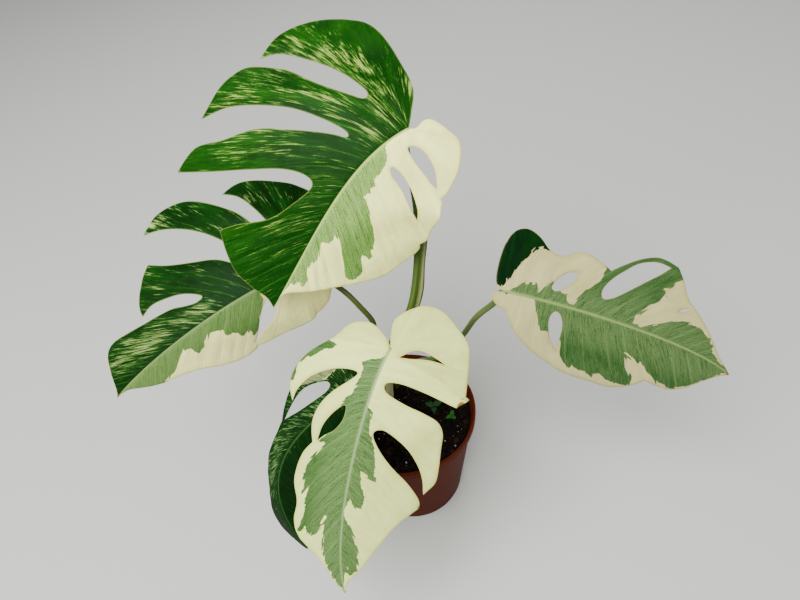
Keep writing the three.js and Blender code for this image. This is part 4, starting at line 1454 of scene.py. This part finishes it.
@dataclass(frozen=True)
class Stalk:
    """A leaf stalk, from beside the main stem to the blade's underside.

    Its section is measured from one side, along which a wing of sheath stands out near its foot.
    The radii are those of its foot, middle and top, and the wing's span is in shares of its length.
    """

    name: str
    slot: str
    leaf: Leaf
    route: tuple[Triple, ...]
    radii: Triple
    finish: StalkFinish
    side: Triple = (0, 1, 0)
    wing_reach: float = 1.6
    wing_span: Pair = (0, 0.3)
    wing_width: float = 0.24
    papery_from: float = 2
    sheath_end: float = 0.35
    knee_height: float = 0.5
    knee_at: float = 0.93
    knee_length: float = 0.045
    foot_darkening: float = 0.2
    seat_gap: float = 0.45
    seat_lead: float = 9
    seat_along: float = 3
    blade_half: float = 0.4
    step: float = 2.2
    sides: int = 40
    stripes: float = 4.2
    stripe_length: float = 26

    def path(self) -> np.ndarray:
        """Gives the stalk's middle line.

        Returns:
            Points at even distances, the last just inside the blade's midrib.
        """
        _, centre, _, up, _ = self.leaf.frames(np.array([self.seat_along]))
        slope = math.radians(-min(self.leaf.fold_left[0], self.leaf.fold_right[0]))
        depth = (self.blade_half + self.seat_gap + self.radii[2] * math.sin(slope)) / math.cos(slope)
        seat = centre[0] - up[0] * depth
        lead = seat - up[0] * self.seat_lead
        route = smooth_curve([*self.route, lead, seat], Ends.REFLECTED)
        return evenly(np.vstack([route, seat + up[0] * depth * 0.75]), self.step)

    def wing(self, share: np.ndarray, angle: np.ndarray) -> np.ndarray:
        """Gives how far the wing of sheath stands out.

        Args:
            share: Each ring's share of the length.
            angle: Each corner's angle.

        Returns:
            For each ring and corner, from 0 off the wing to 1 at its rim.
        """
        start, end = self.wing_span
        rise = ease(start - 0.01, start + 0.06, share) * (1 - ease(end - 0.06, end, share))
        spread = np.minimum(angle, 2 * np.pi - angle) / self.wing_width
        return rise * np.exp(-(spread**2))

    def build(self) -> Piece:
        """Makes the stalk as one closed loft and stores what its finish reads.

        Returns:
            The piece.
        """
        path = self.path()
        rings = len(path)
        share = np.linspace(0, 1, rings)[:, None]
        angle = np.linspace(0, 2 * np.pi, self.sides, endpoint=False)[None]
        foot, middle, top = self.radii
        sheath = np.clip(1 - share / self.sheath_end, 0, 1) ** 1.5
        knee = self.knee_height * np.exp(-(((share - self.knee_at) / self.knee_length) ** 2))
        radius = middle + (foot - middle) * sheath + knee
        radius = radius + (top - radius) * ease(0.955, 0.995, share)
        wing = self.wing(share, angle)
        ruffle = 1 + 0.12 * np.sin(share * rings / 3.1)
        ribs = 0.06 * np.cos(9 * angle) + 0.05 * np.sin(31 * share * rings / 12)
        shape = radius + self.wing_reach * wing * ruffle + ribs
        points, faces = loft(path, self.side, shape, angle)
        piece = make_piece(f"{self.name}_skin", points, faces, [self.finish.material()])
        self.store_marks(piece, share, angle, wing)
        mount_piece(piece, self.name)
        return piece

    def store_marks(
        self, piece: Piece, share: np.ndarray, angle: np.ndarray, wing: np.ndarray
    ) -> None:
        """Stores what the finish reads: the run of the stripes, the wing and the foot.

        Args:
            piece: The stalk's object.
            share: Each ring's share of the length.
            angle: Each corner's angle.
            wing: How far the wing stands out at each vertex.
        """
        along = share * len(share) * self.step / self.stripe_length
        run = (self.stripes * np.cos(angle), self.stripes * np.sin(angle), along)
        is_papery = self.wing_reach > self.papery_from
        marks = (
            ease(0.12, 0.4, wing) * is_papery,
            ease(0.8, 0.97, wing) * is_papery,
            # Darker towards the foot of the stalk.
            0.8 * np.clip(1 - share / self.foot_darkening, 0, 1),
        )
        for name, parts in (("run", run), ("wing", marks)):
            stacked = np.stack([np.broadcast_to(part, wing.shape) for part in parts], axis=-1)
            add_vectors(piece, name, stacked.reshape(-1, 3))


OLIVE = StalkFinish("stalk_olive_rind", "#2a3e0d", "#40501b", "#1c260a")
SLIM_OLIVE = StalkFinish("stalk_slim_rind", "#2a340e", "#3c4619", "#1c2009")
PALE_GREEN = StalkFinish("stalk_pale_rind", "#39481f", "#4c592d", "#262e14")
PALE = StalkFinish("stalk_cream_rind", "#7a7a52", "#8e8c66", "#45442a")

STALKS = (
    Stalk(
        name="stalk_top",
        slot="stalk_olive",
        leaf=TOP,
        route=(
            (-9.9, 10.1, 142.5), (-7.7, 12.3, 156), (2, 16, 184), (21, 23, 216), (32, 42, 251), (36, 50, 288),
            (35, 53, 317), (33, 50, 340),
        ),
        radii=(5.4, 2.8, 2.3),
        finish=OLIVE,
        side=(1, 0, 0),
        wing_reach=4.2,
        wing_span=(0.06, 0.66),
    ),
    Stalk(
        name="stalk_left",
        slot="stalk_olive",
        leaf=LEFT,
        route=(
            (-13.4, 17.2, 121), (-17, 22, 146), (-15, 20, 185), (-11, 16, 210), (-19, 19, 228),
            (-29, 27, 239),
            (-41, 36, 245),
        ),
        radii=(3.8, 2.2, 1.6),
        finish=SLIM_OLIVE,
    ),
    Stalk(
        name="stalk_front",
        slot="stalk_pale",
        leaf=FRONT,
        route=(
            (-14, -4.6, 112), (-10, -14, 138), (-7, -26, 168), (-5, -36, 196), (-1, -46, 225), (1, -52, 245),
        ),
        radii=(4, 2.9, 2.2),
        finish=PALE,
        side=(1, 0, 0),
    ),
    Stalk(
        name="stalk_right",
        slot="stalk_pale",
        leaf=RIGHT,
        route=(
            (-3.6, 14, 130), (9, 14, 152), (40, 6, 170), (57, 2, 193), (68, -6, 221), (80, -12, 239),
            (86, -14, 248),
        ),
        radii=(3.8, 2.3, 1.9),
        finish=PALE_GREEN,
    ),
    Stalk(
        name="stalk_low",
        slot="stalk_olive",
        leaf=LOW,
        route=((-23.4, -0.8, 106), (-25, -6, 126), (-23, -13, 146), (-22, -20, 163), (-22, -25, 176)),
        radii=(3.8, 2.4, 1.9),
        finish=SLIM_OLIVE,
    ),
)


@dataclass(frozen=True)
class Pattern:
    """A fine pattern of a finish: the sizes of its marks in millimetres, and the colour it brings.

    The colour comes in as the pattern's value runs from low to high, up to its share.
    """

    sizes: Triple
    detail: float
    color: str = ""
    low: float = 0.0
    high: float = 1.0
    share: float = 1.0


@dataclass(frozen=True)
class PlainFinish:
    """A finish of one colour under its patterns, the last of which is also its relief.

    The relief is as deep as its depth, in millimetres. Where the finish has crumbs, they are the
    relief instead, and their size is in millimetres too.
    """

    name: str
    color: str
    roughness: float
    patterns: tuple[Pattern, ...]
    gloss: float = 0.5
    depth: float = 0.0
    strength: float = 1.0
    crumb: float = 0.0
    softness: float = 0.0
    soft_depth: float = 1.0

    def material(self) -> Material:
        """Builds the material.

        Returns:
            The material.
        """
        material, tree = new_material(self.name)
        where = add_node(tree, COORDINATES, output="Object")
        layers = []
        height: Socket | None = None
        for pattern in self.patterns:
            scale = scale_for(*pattern.sizes)
            placed = add_node(tree, VECTOR_MATH, MULTIPLY, {0: where, 1: scale})
            inputs = {"Vector": placed, "Scale": 1.0, "Detail": pattern.detail}
            height = add_node(tree, NOISE, inputs=inputs)
            if pattern.color:
                levels = {0: height, 1: pattern.low, 2: pattern.high, 4: pattern.share}
                layers.append((add_node(tree, RANGE, inputs=levels), pattern.color))
        if self.crumb:
            inputs = {"Vector": where, "Scale": scale_for(self.crumb)[0]}
            height = add_node(tree, CELLS, inputs=inputs, output="Distance")
        color = layered(tree, self.color, layers)
        values = {"Roughness": self.roughness, "Specular IOR Level": self.gloss}
        if self.softness:
            values |= {"Subsurface Weight": self.softness, "Subsurface Scale": self.soft_depth * MM}
        surface(tree, color, values, height if self.depth else None, self.depth, self.strength)
        return material


# Rind of a young aroid stem: green, turning to thin cork that cracks lengthwise as it grows. To the
# eye it is matte, green and tan in streaks.
STEM_RIND = PlainFinish(
    name="stem_rind",
    color="#54592c",
    roughness=0.75,
    patterns=(Pattern((1.7, 1.7, 6.2), 5, "#6e6038", 0.42, 0.6),),
    depth=0.5,
    strength=0.6,
)


@dataclass(frozen=True)
class MainStem:
    """The short main stem, with the ring scars that shed leaves left."""

    route: tuple[Triple, ...] = ((-17, 3, 79), (-16, 4, 96), (-14, 6, 114), (-12, 8, 130), (-10, 10, 142))
    radius: float = 6.5
    taper: float = 1.2
    scars: float = 5.5
    scar_height: float = 0.5
    rounding: float = 0.02
    step: float = 0.9
    sides: int = 48
    finish: PlainFinish = STEM_RIND

    def build(self) -> Piece:
        """Makes the stem as one closed loft with a rounded top.

        Returns:
            The piece.
        """
        path = evenly(smooth_curve(self.route, Ends.REFLECTED), self.step)
        share = np.linspace(0, 1, len(path))[:, None]
        angle = np.linspace(0, 2 * np.pi, self.sides, endpoint=False)[None]
        scar = np.maximum(0, np.cos(share * self.scars * 2 * np.pi)) ** 6
        rough = 0.12 * np.sin(5 * angle + 9 * share) + 0.08 * np.sin(13 * angle + 40 * share)
        shape = self.radius - self.taper * share + self.scar_height * scar + rough * (1 - scar)
        shape = shape * np.sqrt(np.clip((1 - share) / self.rounding, 0.35, 1))
        points, faces = loft(path, (1, 0, 0), shape, angle)
        piece = make_piece("main_stem_rind", points, faces, [self.finish.material()])
        mount_piece(piece, "main_stem")
        return piece


# Polypropylene, injection moulded: satin, evenly coloured through. It is a little scuffed, and dust
# lies in the level scuffs.
POT_POLYPROPYLENE = PlainFinish(
    name="pot_polypropylene",
    color="#4a1a0b",
    roughness=0.5,
    patterns=(Pattern((22, 22, 22), 4, "#3c1408"), Pattern((4.2, 4.2, 1.1), 3, "#5a3222", 0.6, 0.8, 0.35)),
    gloss=0.02,
    depth=0.2,
    strength=0.15,
)


@dataclass(frozen=True)
class Pot:
    """The nursery pot: thin moulded plastic, tapered, with a thick band under its rim."""

    height: float = 112
    rim_radius: float = 65
    band: float = 11
    base_radius: float = 47
    wall: float = 1.8
    band_step: float = 1.6
    holes: int = 8
    hole_radius: float = 4
    hole_circle: float = 33
    hole_sides: int = 32
    sides: int = 192
    finish: PlainFinish = POT_POLYPROPYLENE

    def wall_radius(self, height: float) -> float:
        """Gives the outer radius below the band at a height."""
        return self.base_radius + (self.rim_radius - self.band_step - self.base_radius) * height / self.height

    def profile(self) -> list[Pair]:
        """Draws the wall's section, up its outside, over the rim and down its inside.

        Returns:
            The section's points, as radius and height.
        """
        base, rim, top = self.base_radius, self.rim_radius, self.height
        foot = top - self.band
        inner = self.wall_radius(foot + 1) - self.wall
        corner = base - self.wall
        return [
            (base - 3.5, 0),
            (base - 1.2, 0.25),
            (base - 0.3, 1.0),
            (base + 0.15, 2.2),
            (self.wall_radius(foot - 1.5), foot - 1.5),
            (self.wall_radius(foot) + 0.35, foot - 0.4),
            (rim - 0.7, foot + 0.9),
            (rim - 0.45, foot + 1.8),
            (rim - 0.15, top - 3.4),
            (rim, top - 2.6),
            (rim, top - 1.0),
            (rim - 0.5, top - 0.2),
            (rim - 1.0, top),
            (rim - 1.5, top - 0.15),
            (rim - self.wall, top - 0.9),
            (inner + 1.6, foot + 6),
            (inner, foot + 1),
            (corner + 0.6, self.wall + 2),
            (corner - 0.1, self.wall + 0.7),
            (corner - 1.4, self.wall),
        ]

    def build(self) -> Piece:
        """Turns the section round the pot's axis, and drills its base.

        Returns:
            The piece.
        """
        profile = self.profile()
        turn = np.linspace(0, 2 * np.pi, self.sides, endpoint=False)
        rings = [level_ring(radius, height, turn) for radius, height in profile]
        points = np.vstack([*rings, [[0, 0, 0]], [[0, 0, self.wall]]])
        below, above = len(points) - 2, len(points) - 1
        starts = [number * self.sides for number in range(len(profile))]
        faces = [face for low, high in zip(starts, starts[1:]) for face in belt(low, high, self.sides)]
        for corner in range(self.sides):
            after = (corner + 1) % self.sides
            faces += [(below, after, corner), (above, starts[-1] + corner, starts[-1] + after)]
        pot = make_piece("pot_shell", points, faces, [self.finish.material()])
        self.drill(pot)
        mount_piece(pot, "pot")
        return pot

    def drill(self, pot: Piece) -> None:
        """Cuts the drain holes through the base, with one cutter for all of them.

        Args:
            pot: The pot's object, whose mesh is replaced by the drilled one.
        """
        drills = bmesh.new()
        for number in range(self.holes):
            angle = number / self.holes * 2 * math.pi
            place = Vector((self.hole_circle * math.cos(angle), self.hole_circle * math.sin(angle), 0))
            bmesh.ops.create_cone(
                drills,
                cap_ends=True,
                segments=self.hole_sides,
                radius1=self.hole_radius * MM,
                radius2=self.hole_radius * MM,
                depth=4 * self.wall * MM,
                matrix=Matrix.Translation(place * MM),
            )
        mesh = bpy.data.meshes.new("drill")
        drills.to_mesh(mesh)
        drills.free()
        cutter = bpy.data.objects.new("drill", mesh)
        bpy.context.scene.collection.objects.link(cutter)
        cut = pot.modifiers.new("drain holes", "BOOLEAN")
        cut.operation = "DIFFERENCE"
        cut.object = cutter
        bpy.context.view_layer.update()
        drilled = bpy.data.meshes.new_from_object(pot.evaluated_get(bpy.context.evaluated_depsgraph_get()))
        pot.modifiers.clear()
        pot.data = drilled
        bpy.data.objects.remove(cutter)
        log.info("pot_shell: %d drain holes", self.holes)


@dataclass(frozen=True)
class Grain:
    """One kind of grain that lies in the potting mix: its number, sizes in millimetres and colours.

    It is dry mineral or plant crumb, broken and unsealed: matte, its colour uneven from grain to
    grain.
    """

    name: str
    count: int
    size: Pair
    flatness: float
    detail: int
    color: str
    tint: str
    roughness: float
    cloud: float = 3.3

    def finish(self) -> PlainFinish:
        """Gives its finish, clouded from one colour to the other."""
        clouds = Pattern((self.cloud, self.cloud, self.cloud), 3, self.tint)
        return PlainFinish(self.name, self.color, self.roughness, (clouds,), gloss=0.06)


GRAINS = (
    Grain("peat_crumbs", 900, (1.2, 4.2), 0.7, 1, "#0a0604", "#1a110b", 0.85),
    Grain("bark_bits", 80, (3.0, 8.0), 0.28, 1, "#150b06", "#24150b", 0.8),
    Grain("perlite_grains", 85, (0.7, 1.9), 0.8, 2, "#8f8c82", "#706d64", 0.9),
    Grain("perlite_dust", 190, (0.35, 0.75), 0.8, 1, "#98958b", "#7a776e", 0.9),
)

# Moist peat and coir, loosely crumbled: nearly black with brown fibres, matte with a damp glint.
PEAT_MIX = PlainFinish(
    name="peat_mix",
    color="#070403",
    roughness=0.85,
    patterns=(Pattern((3.8, 3.8, 3.8), 5, "#150d08", 0.5, 0.72),),
    gloss=0.06,
    depth=0.8,
    strength=0.8,
    crumb=1.9,
)


@dataclass(frozen=True)
class PottingMix:
    """The peaty mix that fills the pot, with crumbs, bark and perlite on its surface.

    Its relief is of square lumps, soft ones and fine ones, each by size and height.
    """

    pot: Pot
    top: float = 105
    shoulder: float = 5
    relief: float = 1.3
    gap: float = 0.3
    lumps: tuple[Pair, Pair, Pair] = ((2.3, 0.5), (4.1, 1.0), (1.3, 0.7))
    step: float = 1.05
    strewn_to: float = 5
    seed: int = 11
    finish: PlainFinish = PEAT_MIX

    def height(self, x: np.ndarray, y: np.ndarray) -> np.ndarray:
        """Gives the height of the surface: low mounds, lower at the wall.

        Args:
            x: Places across the pot.
            y: Places along it.

        Returns:
            The heights above the table, in millimetres.
        """
        edge = np.minimum(1, np.hypot(x, y) / (self.pot.rim_radius - self.pot.wall))
        mounds = np.sin(0.13 * x + 0.6) * np.cos(0.11 * y) + 0.6 * np.sin(0.31 * x + 0.27 * y)
        return self.top + self.relief * mounds - 2 * edge**4

    def crumb(self, x: np.ndarray, y: np.ndarray) -> np.ndarray:
        """Gives the crumbly relief, which is finer than the mounds.

        Args:
            x: Places across the pot.
            y: Places along it.

        Returns:
            The heights above the mounds, in millimetres.
        """
        kinds = ((noise.cell, 0.5), (noise.noise, 2.0), (noise.noise, 5.0))
        total = np.zeros(len(x))
        for (size, high), (draw, level) in zip(self.lumps, kinds):
            total += [high * draw(Vector((a / size, b / size, level))) for a, b in zip(x, y)]
        return total

    def top_mesh(self, brim: float, turn: np.ndarray) -> tuple[np.ndarray, Faces]:
        """Fills the top with even triangles and gives it its relief.

        Args:
            brim: The radius of its rim.
            turn: The angles of the rim's points, which come first.

        Returns:
            The points and the faces.
        """
        count = len(turn)
        ring = brim * np.column_stack([np.cos(turn), np.sin(turn)])
        rows = []
        for number, y in enumerate(np.arange(-brim, brim, self.step * math.sqrt(3) / 2)):
            xs = np.arange(-brim, brim, self.step) + (number % 2) * self.step / 2
            rows.append(np.column_stack([xs, np.full(len(xs), y)]))
        inner = np.vstack(rows)
        inner = inner[np.hypot(inner[:, 0], inner[:, 1]) < brim - 0.6 * self.step]
        places = [Vector(place) for place in np.vstack([ring, inner]).tolist()]
        rim = [(i, (i + 1) % count) for i in range(count)]
        flat, _, triangles, *_ = geometry.delaunay_2d_cdt(places, rim, [], 0, 1e-4)
        x, y = np.array([tuple(place) for place in flat]).T
        shelter = ease(0, 3, brim - np.hypot(x, y))
        top = np.column_stack([x, y, self.height(x, y) + self.crumb(x, y) * shelter])
        return top, [tuple(triangle) for triangle in triangles]

    def build(self) -> Piece:
        """Makes the bed: a crumbly top over a plain body that follows the pot's wall.

        Returns:
            The piece.
        """
        inside = self.pot.wall + self.gap
        waist = self.top / 2
        body = [
            (self.pot.wall_radius(self.top - self.shoulder) - inside, self.top - self.shoulder),
            (self.pot.wall_radius(waist) - inside, waist),
            (self.pot.base_radius - inside - 2.2, inside),
        ]
        brim = body[0][0]
        count = round(2 * math.pi * brim / self.step)
        turn = np.linspace(0, 2 * np.pi, count, endpoint=False)
        top, faces = self.top_mesh(brim, turn)
        skirt = [level_ring(radius, height, turn) for radius, height in body]
        points = np.vstack([top, *skirt, [[0, 0, inside]]])
        starts = [0] + [len(top) + number * count for number in range(len(body))]
        for upper, lower in zip(starts, starts[1:]):
            faces += belt(lower, upper, count)
        middle, last = len(points) - 1, starts[-1]
        faces += [(middle, last + (i + 1) % count, last + i) for i in range(count)]
        bed = make_piece("soil_bed", points, faces, [self.finish.material()])
        mount_piece(bed, "soil")
        return bed

    def scatter(self, grain: Grain, seed: int, keep_out: Callable[[float, float], bool]) -> Piece:
        """Strews one kind of grain over the bed, as one piece of closed crumbs.

        Args:
            grain: The kind of grain.
            seed: The seed of its places, sizes and shapes.
            keep_out: Tells whether a place is taken by a stem.

        Returns:
            The piece.
        """
        draw = np.random.RandomState(seed)
        ball = bmesh.new()
        bmesh.ops.create_icosphere(ball, subdivisions=grain.detail, radius=1.0)
        corners = np.array([tuple(vertex.co) for vertex in ball.verts])
        sides = np.array([[vertex.index for vertex in face.verts] for face in ball.faces])
        ball.free()
        points, faces = [], []
        limit = self.pot.rim_radius - self.pot.wall - self.strewn_to
        smallest, largest = grain.size
        while len(points) < grain.count:
            radius, turn = limit * math.sqrt(draw.rand()), 2 * math.pi * draw.rand()
            x, y = radius * math.cos(turn), radius * math.sin(turn)
            size = smallest + (largest - smallest) * draw.rand() ** 2
            if keep_out(x, y):
                continue
            stretch = np.array([1, 0.6 + 0.35 * draw.rand(), grain.flatness]) * size / 2
            bumps = 1 + 0.5 * (draw.rand(len(corners)) - 0.5)
            spin = Matrix.Rotation(2 * math.pi * draw.rand(), 3, "Z")
            tilt = Matrix.Rotation(0.7 * (draw.rand() - 0.5), 3, "X")
            shape = (corners * bumps[:, None] * stretch) @ np.array(spin @ tilt).T
            level = float(self.height(np.array(x), np.array(y))) + 0.3 + 0.2 * size * grain.flatness
            faces.append(sides + len(points) * len(corners))
            points.append(shape + np.array([x, y, level]))
        materials = [grain.finish().material()]
        piece = make_piece(grain.name, np.vstack(points), np.vstack(faces), materials, smooth=False)
        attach(piece, BODY)
        return piece


@dataclass(frozen=True)
class Seedling:
    """A small plant that sprouted in the mix: a thin stem with rounded leaves in threes.

    It is soft young leaf tissue, thin and without wax: matte, in small clouds of two greens.
    """

    name: str
    at: Pair
    height: float
    leaf: float
    heading: float
    green: str
    light: str
    cloud: float = 2.4
    root: float = 2.5
    stem: Pair = (0.7, 0.45)
    sway: float = 0.4
    sides: int = 10
    levels: int = 8
    leaf_turns: Triple = (0, 130, 245)
    leaf_width: float = 0.34
    leaf_half: float = 0.16

    def finish(self) -> PlainFinish:
        """Gives its finish, clouded from one green to the other."""
        clouds = Pattern((self.cloud, self.cloud, self.cloud), 2, self.light)
        return PlainFinish(f"{self.name}_tissue", self.green, 0.75, (clouds,), gloss=0.1, softness=0.15)

    def build(self, mix: PottingMix) -> Piece:
        """Makes the stem and its leaves as one piece.

        Args:
            mix: The bed that it stands in.

        Returns:
            The piece.
        """
        x, y = self.at
        ground = float(mix.height(np.array(x), np.array(y)))
        turn = np.linspace(0, 2 * np.pi, self.sides, endpoint=False)
        points: list[np.ndarray] = []
        for level in np.linspace(-self.root, self.height, self.levels):
            share = (level + self.root) / (self.height + self.root)
            radius = self.stem[0] + (self.stem[1] - self.stem[0]) * share
            sway = self.sway * math.sin(level / 3)
            points.append(level_ring(radius, ground + level, turn) + np.array([x + sway, y, 0]))
        starts = [number * self.sides for number in range(self.levels)]
        faces = [face for low, high in zip(starts, starts[1:]) for face in belt(low, high, self.sides)]
        faces += [tuple(reversed(range(self.sides))), tuple(range(starts[-1], starts[-1] + self.sides))]
        for number, spin in enumerate(self.leaf_turns):
            start = sum(len(block) for block in points)
            heading = math.radians(self.heading + spin)
            block, block_faces = self.leaflet(heading, 0.55 if number == 2 else 1.0)
            points.append(block + np.array([x, y, ground + self.height - 1 - spin / 180]))
            faces += [tuple(start + i for i in face) for face in block_faces]
        materials = [self.finish().material()]
        piece = make_piece(f"{self.name}_plant", np.vstack(points), faces, materials)
        mount_piece(piece, self.name)
        return piece

    def leaflet(self, heading: float, scale: float) -> tuple[np.ndarray, Faces]:
        """Makes one cupped leaf as a thin closed shell.

        Args:
            heading: The way it points, in radians.
            scale: Its size against the largest.

        Returns:
            Its points and faces.
        """
        rows, columns = 13, 9
        along = np.linspace(0, 1, rows)[:, None]
        across = np.linspace(-1, 1, columns)[None]
        length = self.leaf * (0.75 + 0.25 * scale)
        width = self.leaf_width * length * np.sin(np.pi * np.clip(along, 0.02, 0.995) ** 0.75)
        px = along * length - 0.4 + 0 * across
        py = width * across
        pz = 0.32 * px - 0.035 * px**2 + 0.22 * np.abs(py) + 0 * across
        top = np.stack([px, py, pz + self.leaf_half], axis=-1).reshape(-1, 3)
        bottom = np.stack([px, py, pz - self.leaf_half], axis=-1).reshape(-1, 3)
        count = rows * columns
        faces: Faces = []
        for row in range(rows - 1):
            for column in range(columns - 1):
                a = row * columns + column
                b, c, d = a + columns, a + columns + 1, a + 1
                faces += [(a, b, c, d), (count + a, count + d, count + c, count + b)]
        border = list(range(columns))
        border += [row * columns + columns - 1 for row in range(1, rows)]
        border += [(rows - 1) * columns + column for column in range(columns - 2, -1, -1)]
        border += [row * columns for row in range(rows - 2, 0, -1)]
        faces += [(a, b, b + count, a + count) for a, b in zip(border, border[1:] + border[:1])]
        turned = np.array(Matrix.Rotation(heading, 3, "Z"))
        return np.vstack([top, bottom]) @ turned.T, faces


SEEDLINGS = (
    Seedling("seedling_1", (28, -2), 9, 9, 20, "#0b250c", "#173a15"),
    Seedling("seedling_2", (42, -14), 7, 6, 70, "#103a0a", "#1d5215"),
    Seedling("seedling_3", (-8, 30), 8, 6, 150, "#0e2e0e", "#1c4518"),
)


# Matt painted board, rolled: pale and even, so that shadows read softly, with a roller's faint
# stipple.
FLOOR_PAINT = PlainFinish(
    "floor_paint", "#9c9c97", 0.8, (Pattern((11, 11, 11), 3),), depth=0.4, strength=0.05
)


@dataclass(frozen=True)
class Lamp:
    """A soft area light: its place and size in millimetres, and its power in watts."""

    name: str
    place: Triple
    size: float
    power: float

    def hang(self, target: Vector) -> None:
        """Hangs the lamp, turned to what it lights.

        Args:
            target: What it lights, in metres.
        """
        light = bpy.data.lights.new(self.name, "AREA")
        light.size = self.size * MM
        light.energy = self.power
        lamp = bpy.data.objects.new(self.name, light)
        lamp.location = Vector(self.place) * MM
        lamp.rotation_euler = (target - lamp.location).to_track_quat("-Z", "Y").to_euler()
        bpy.context.scene.collection.objects.link(lamp)


@dataclass(frozen=True)
class Studio:
    """A pale floor, soft light and the camera, which stands where the photograph was taken."""

    eye: Triple = (13, -322, 554)
    pitch: float = 43.7
    roll: float = -9.0
    focal: float = 600.0
    frame_width: float = 800.0
    sensor: float = 36.0
    reach: float = 50.0
    floor_size: float = 9000.0
    floor_finish: PlainFinish = FLOOR_PAINT
    lit: Triple = (0, 0, 180)
    lamps: tuple[Lamp, ...] = (
        Lamp("key", (-650, -850, 1700), 1500, 125.0),
        Lamp("fill", (1500, -900, 1200), 1600, 8.0),
        Lamp("back", (300, 1500, 1500), 1200, 18.0),
    )
    sky: str = "#f2f3f6"
    sky_strength: float = 0.8

    def build(self) -> None:
        """Sets the floor, the lights, the world and the camera."""
        self.floor()
        self.lights()
        self.camera()

    def floor(self) -> None:
        """Lays the floor that the pot stands on."""
        half = self.floor_size / 2
        corners = np.array([(-half, -half, 0), (half, -half, 0), (half, half, 0), (-half, half, 0)])
        material = self.floor_finish.material()
        make_piece("floor", corners, [(0, 1, 2, 3)], [material], smooth=False)

    def lights(self) -> None:
        """Hangs the lamps and sets a pale world."""
        for lamp in self.lamps:
            lamp.hang(Vector(self.lit) * MM)
        world = bpy.data.worlds.new("studio")
        world.use_nodes = True
        background = world.node_tree.nodes["Background"]
        background.inputs["Color"].default_value = srgb(self.sky)
        background.inputs["Strength"].default_value = self.sky_strength
        bpy.context.scene.world = world

    def camera(self) -> None:
        """Places the camera from its eye, pitch and roll, and sets its focal length."""
        pitch, roll = math.radians(self.pitch), math.radians(self.roll)
        ahead = Vector((0, math.cos(pitch), -math.sin(pitch)))
        level = Vector((1, 0, 0))
        rise = level.cross(ahead)
        right = math.cos(roll) * level + math.sin(roll) * rise
        up = -math.sin(roll) * level + math.cos(roll) * rise
        turn = Matrix((right, up, -ahead)).transposed().to_4x4()
        data = bpy.data.cameras.new("camera")
        data.sensor_width = self.sensor
        data.lens = self.sensor * self.focal / self.frame_width
        data.clip_end = self.reach
        camera = bpy.data.objects.new("camera", data)
        camera.matrix_world = Matrix.Translation(Vector(self.eye) * MM) @ turn
        bpy.context.scene.collection.objects.link(camera)
        bpy.context.scene.camera = camera


# Where the main stem comes out of the bed, and how far the grains keep from it and from a seedling.
STEM_AT = (-15, 5)
STEM_CLEAR = 9
SEEDLING_CLEAR = 2


def taken(x: float, y: float) -> bool:
    """Tells whether a place on the bed is taken.

    Args:
        x: The place across the pot.
        y: The place along it.

    Returns:
        Whether the main stem or a seedling stands there.
    """
    stands = [(STEM_AT, STEM_CLEAR), *((plant.at, SEEDLING_CLEAR) for plant in SEEDLINGS)]
    return any(math.dist((x, y), at) < clear for at, clear in stands)


def main() -> None:
    """Builds the plant, its pot and the studio, and reports each piece."""
    logging.basicConfig(level=logging.INFO, format="%(message)s")
    pot = Pot()
    pot.build()
    mix = PottingMix(pot)
    mix.build()
    for number, grain in enumerate(GRAINS):
        mix.scatter(grain, mix.seed + number, taken)
    MainStem().build()
    for stalk in STALKS:
        stalk.build()
    for leaf in LEAVES:
        leaf.build()
    for seedling in SEEDLINGS:
        seedling.build(mix)
    Studio().build()
    log.info("size of the CAD model and of the visual model written")


if __name__ == "__main__":
    main()
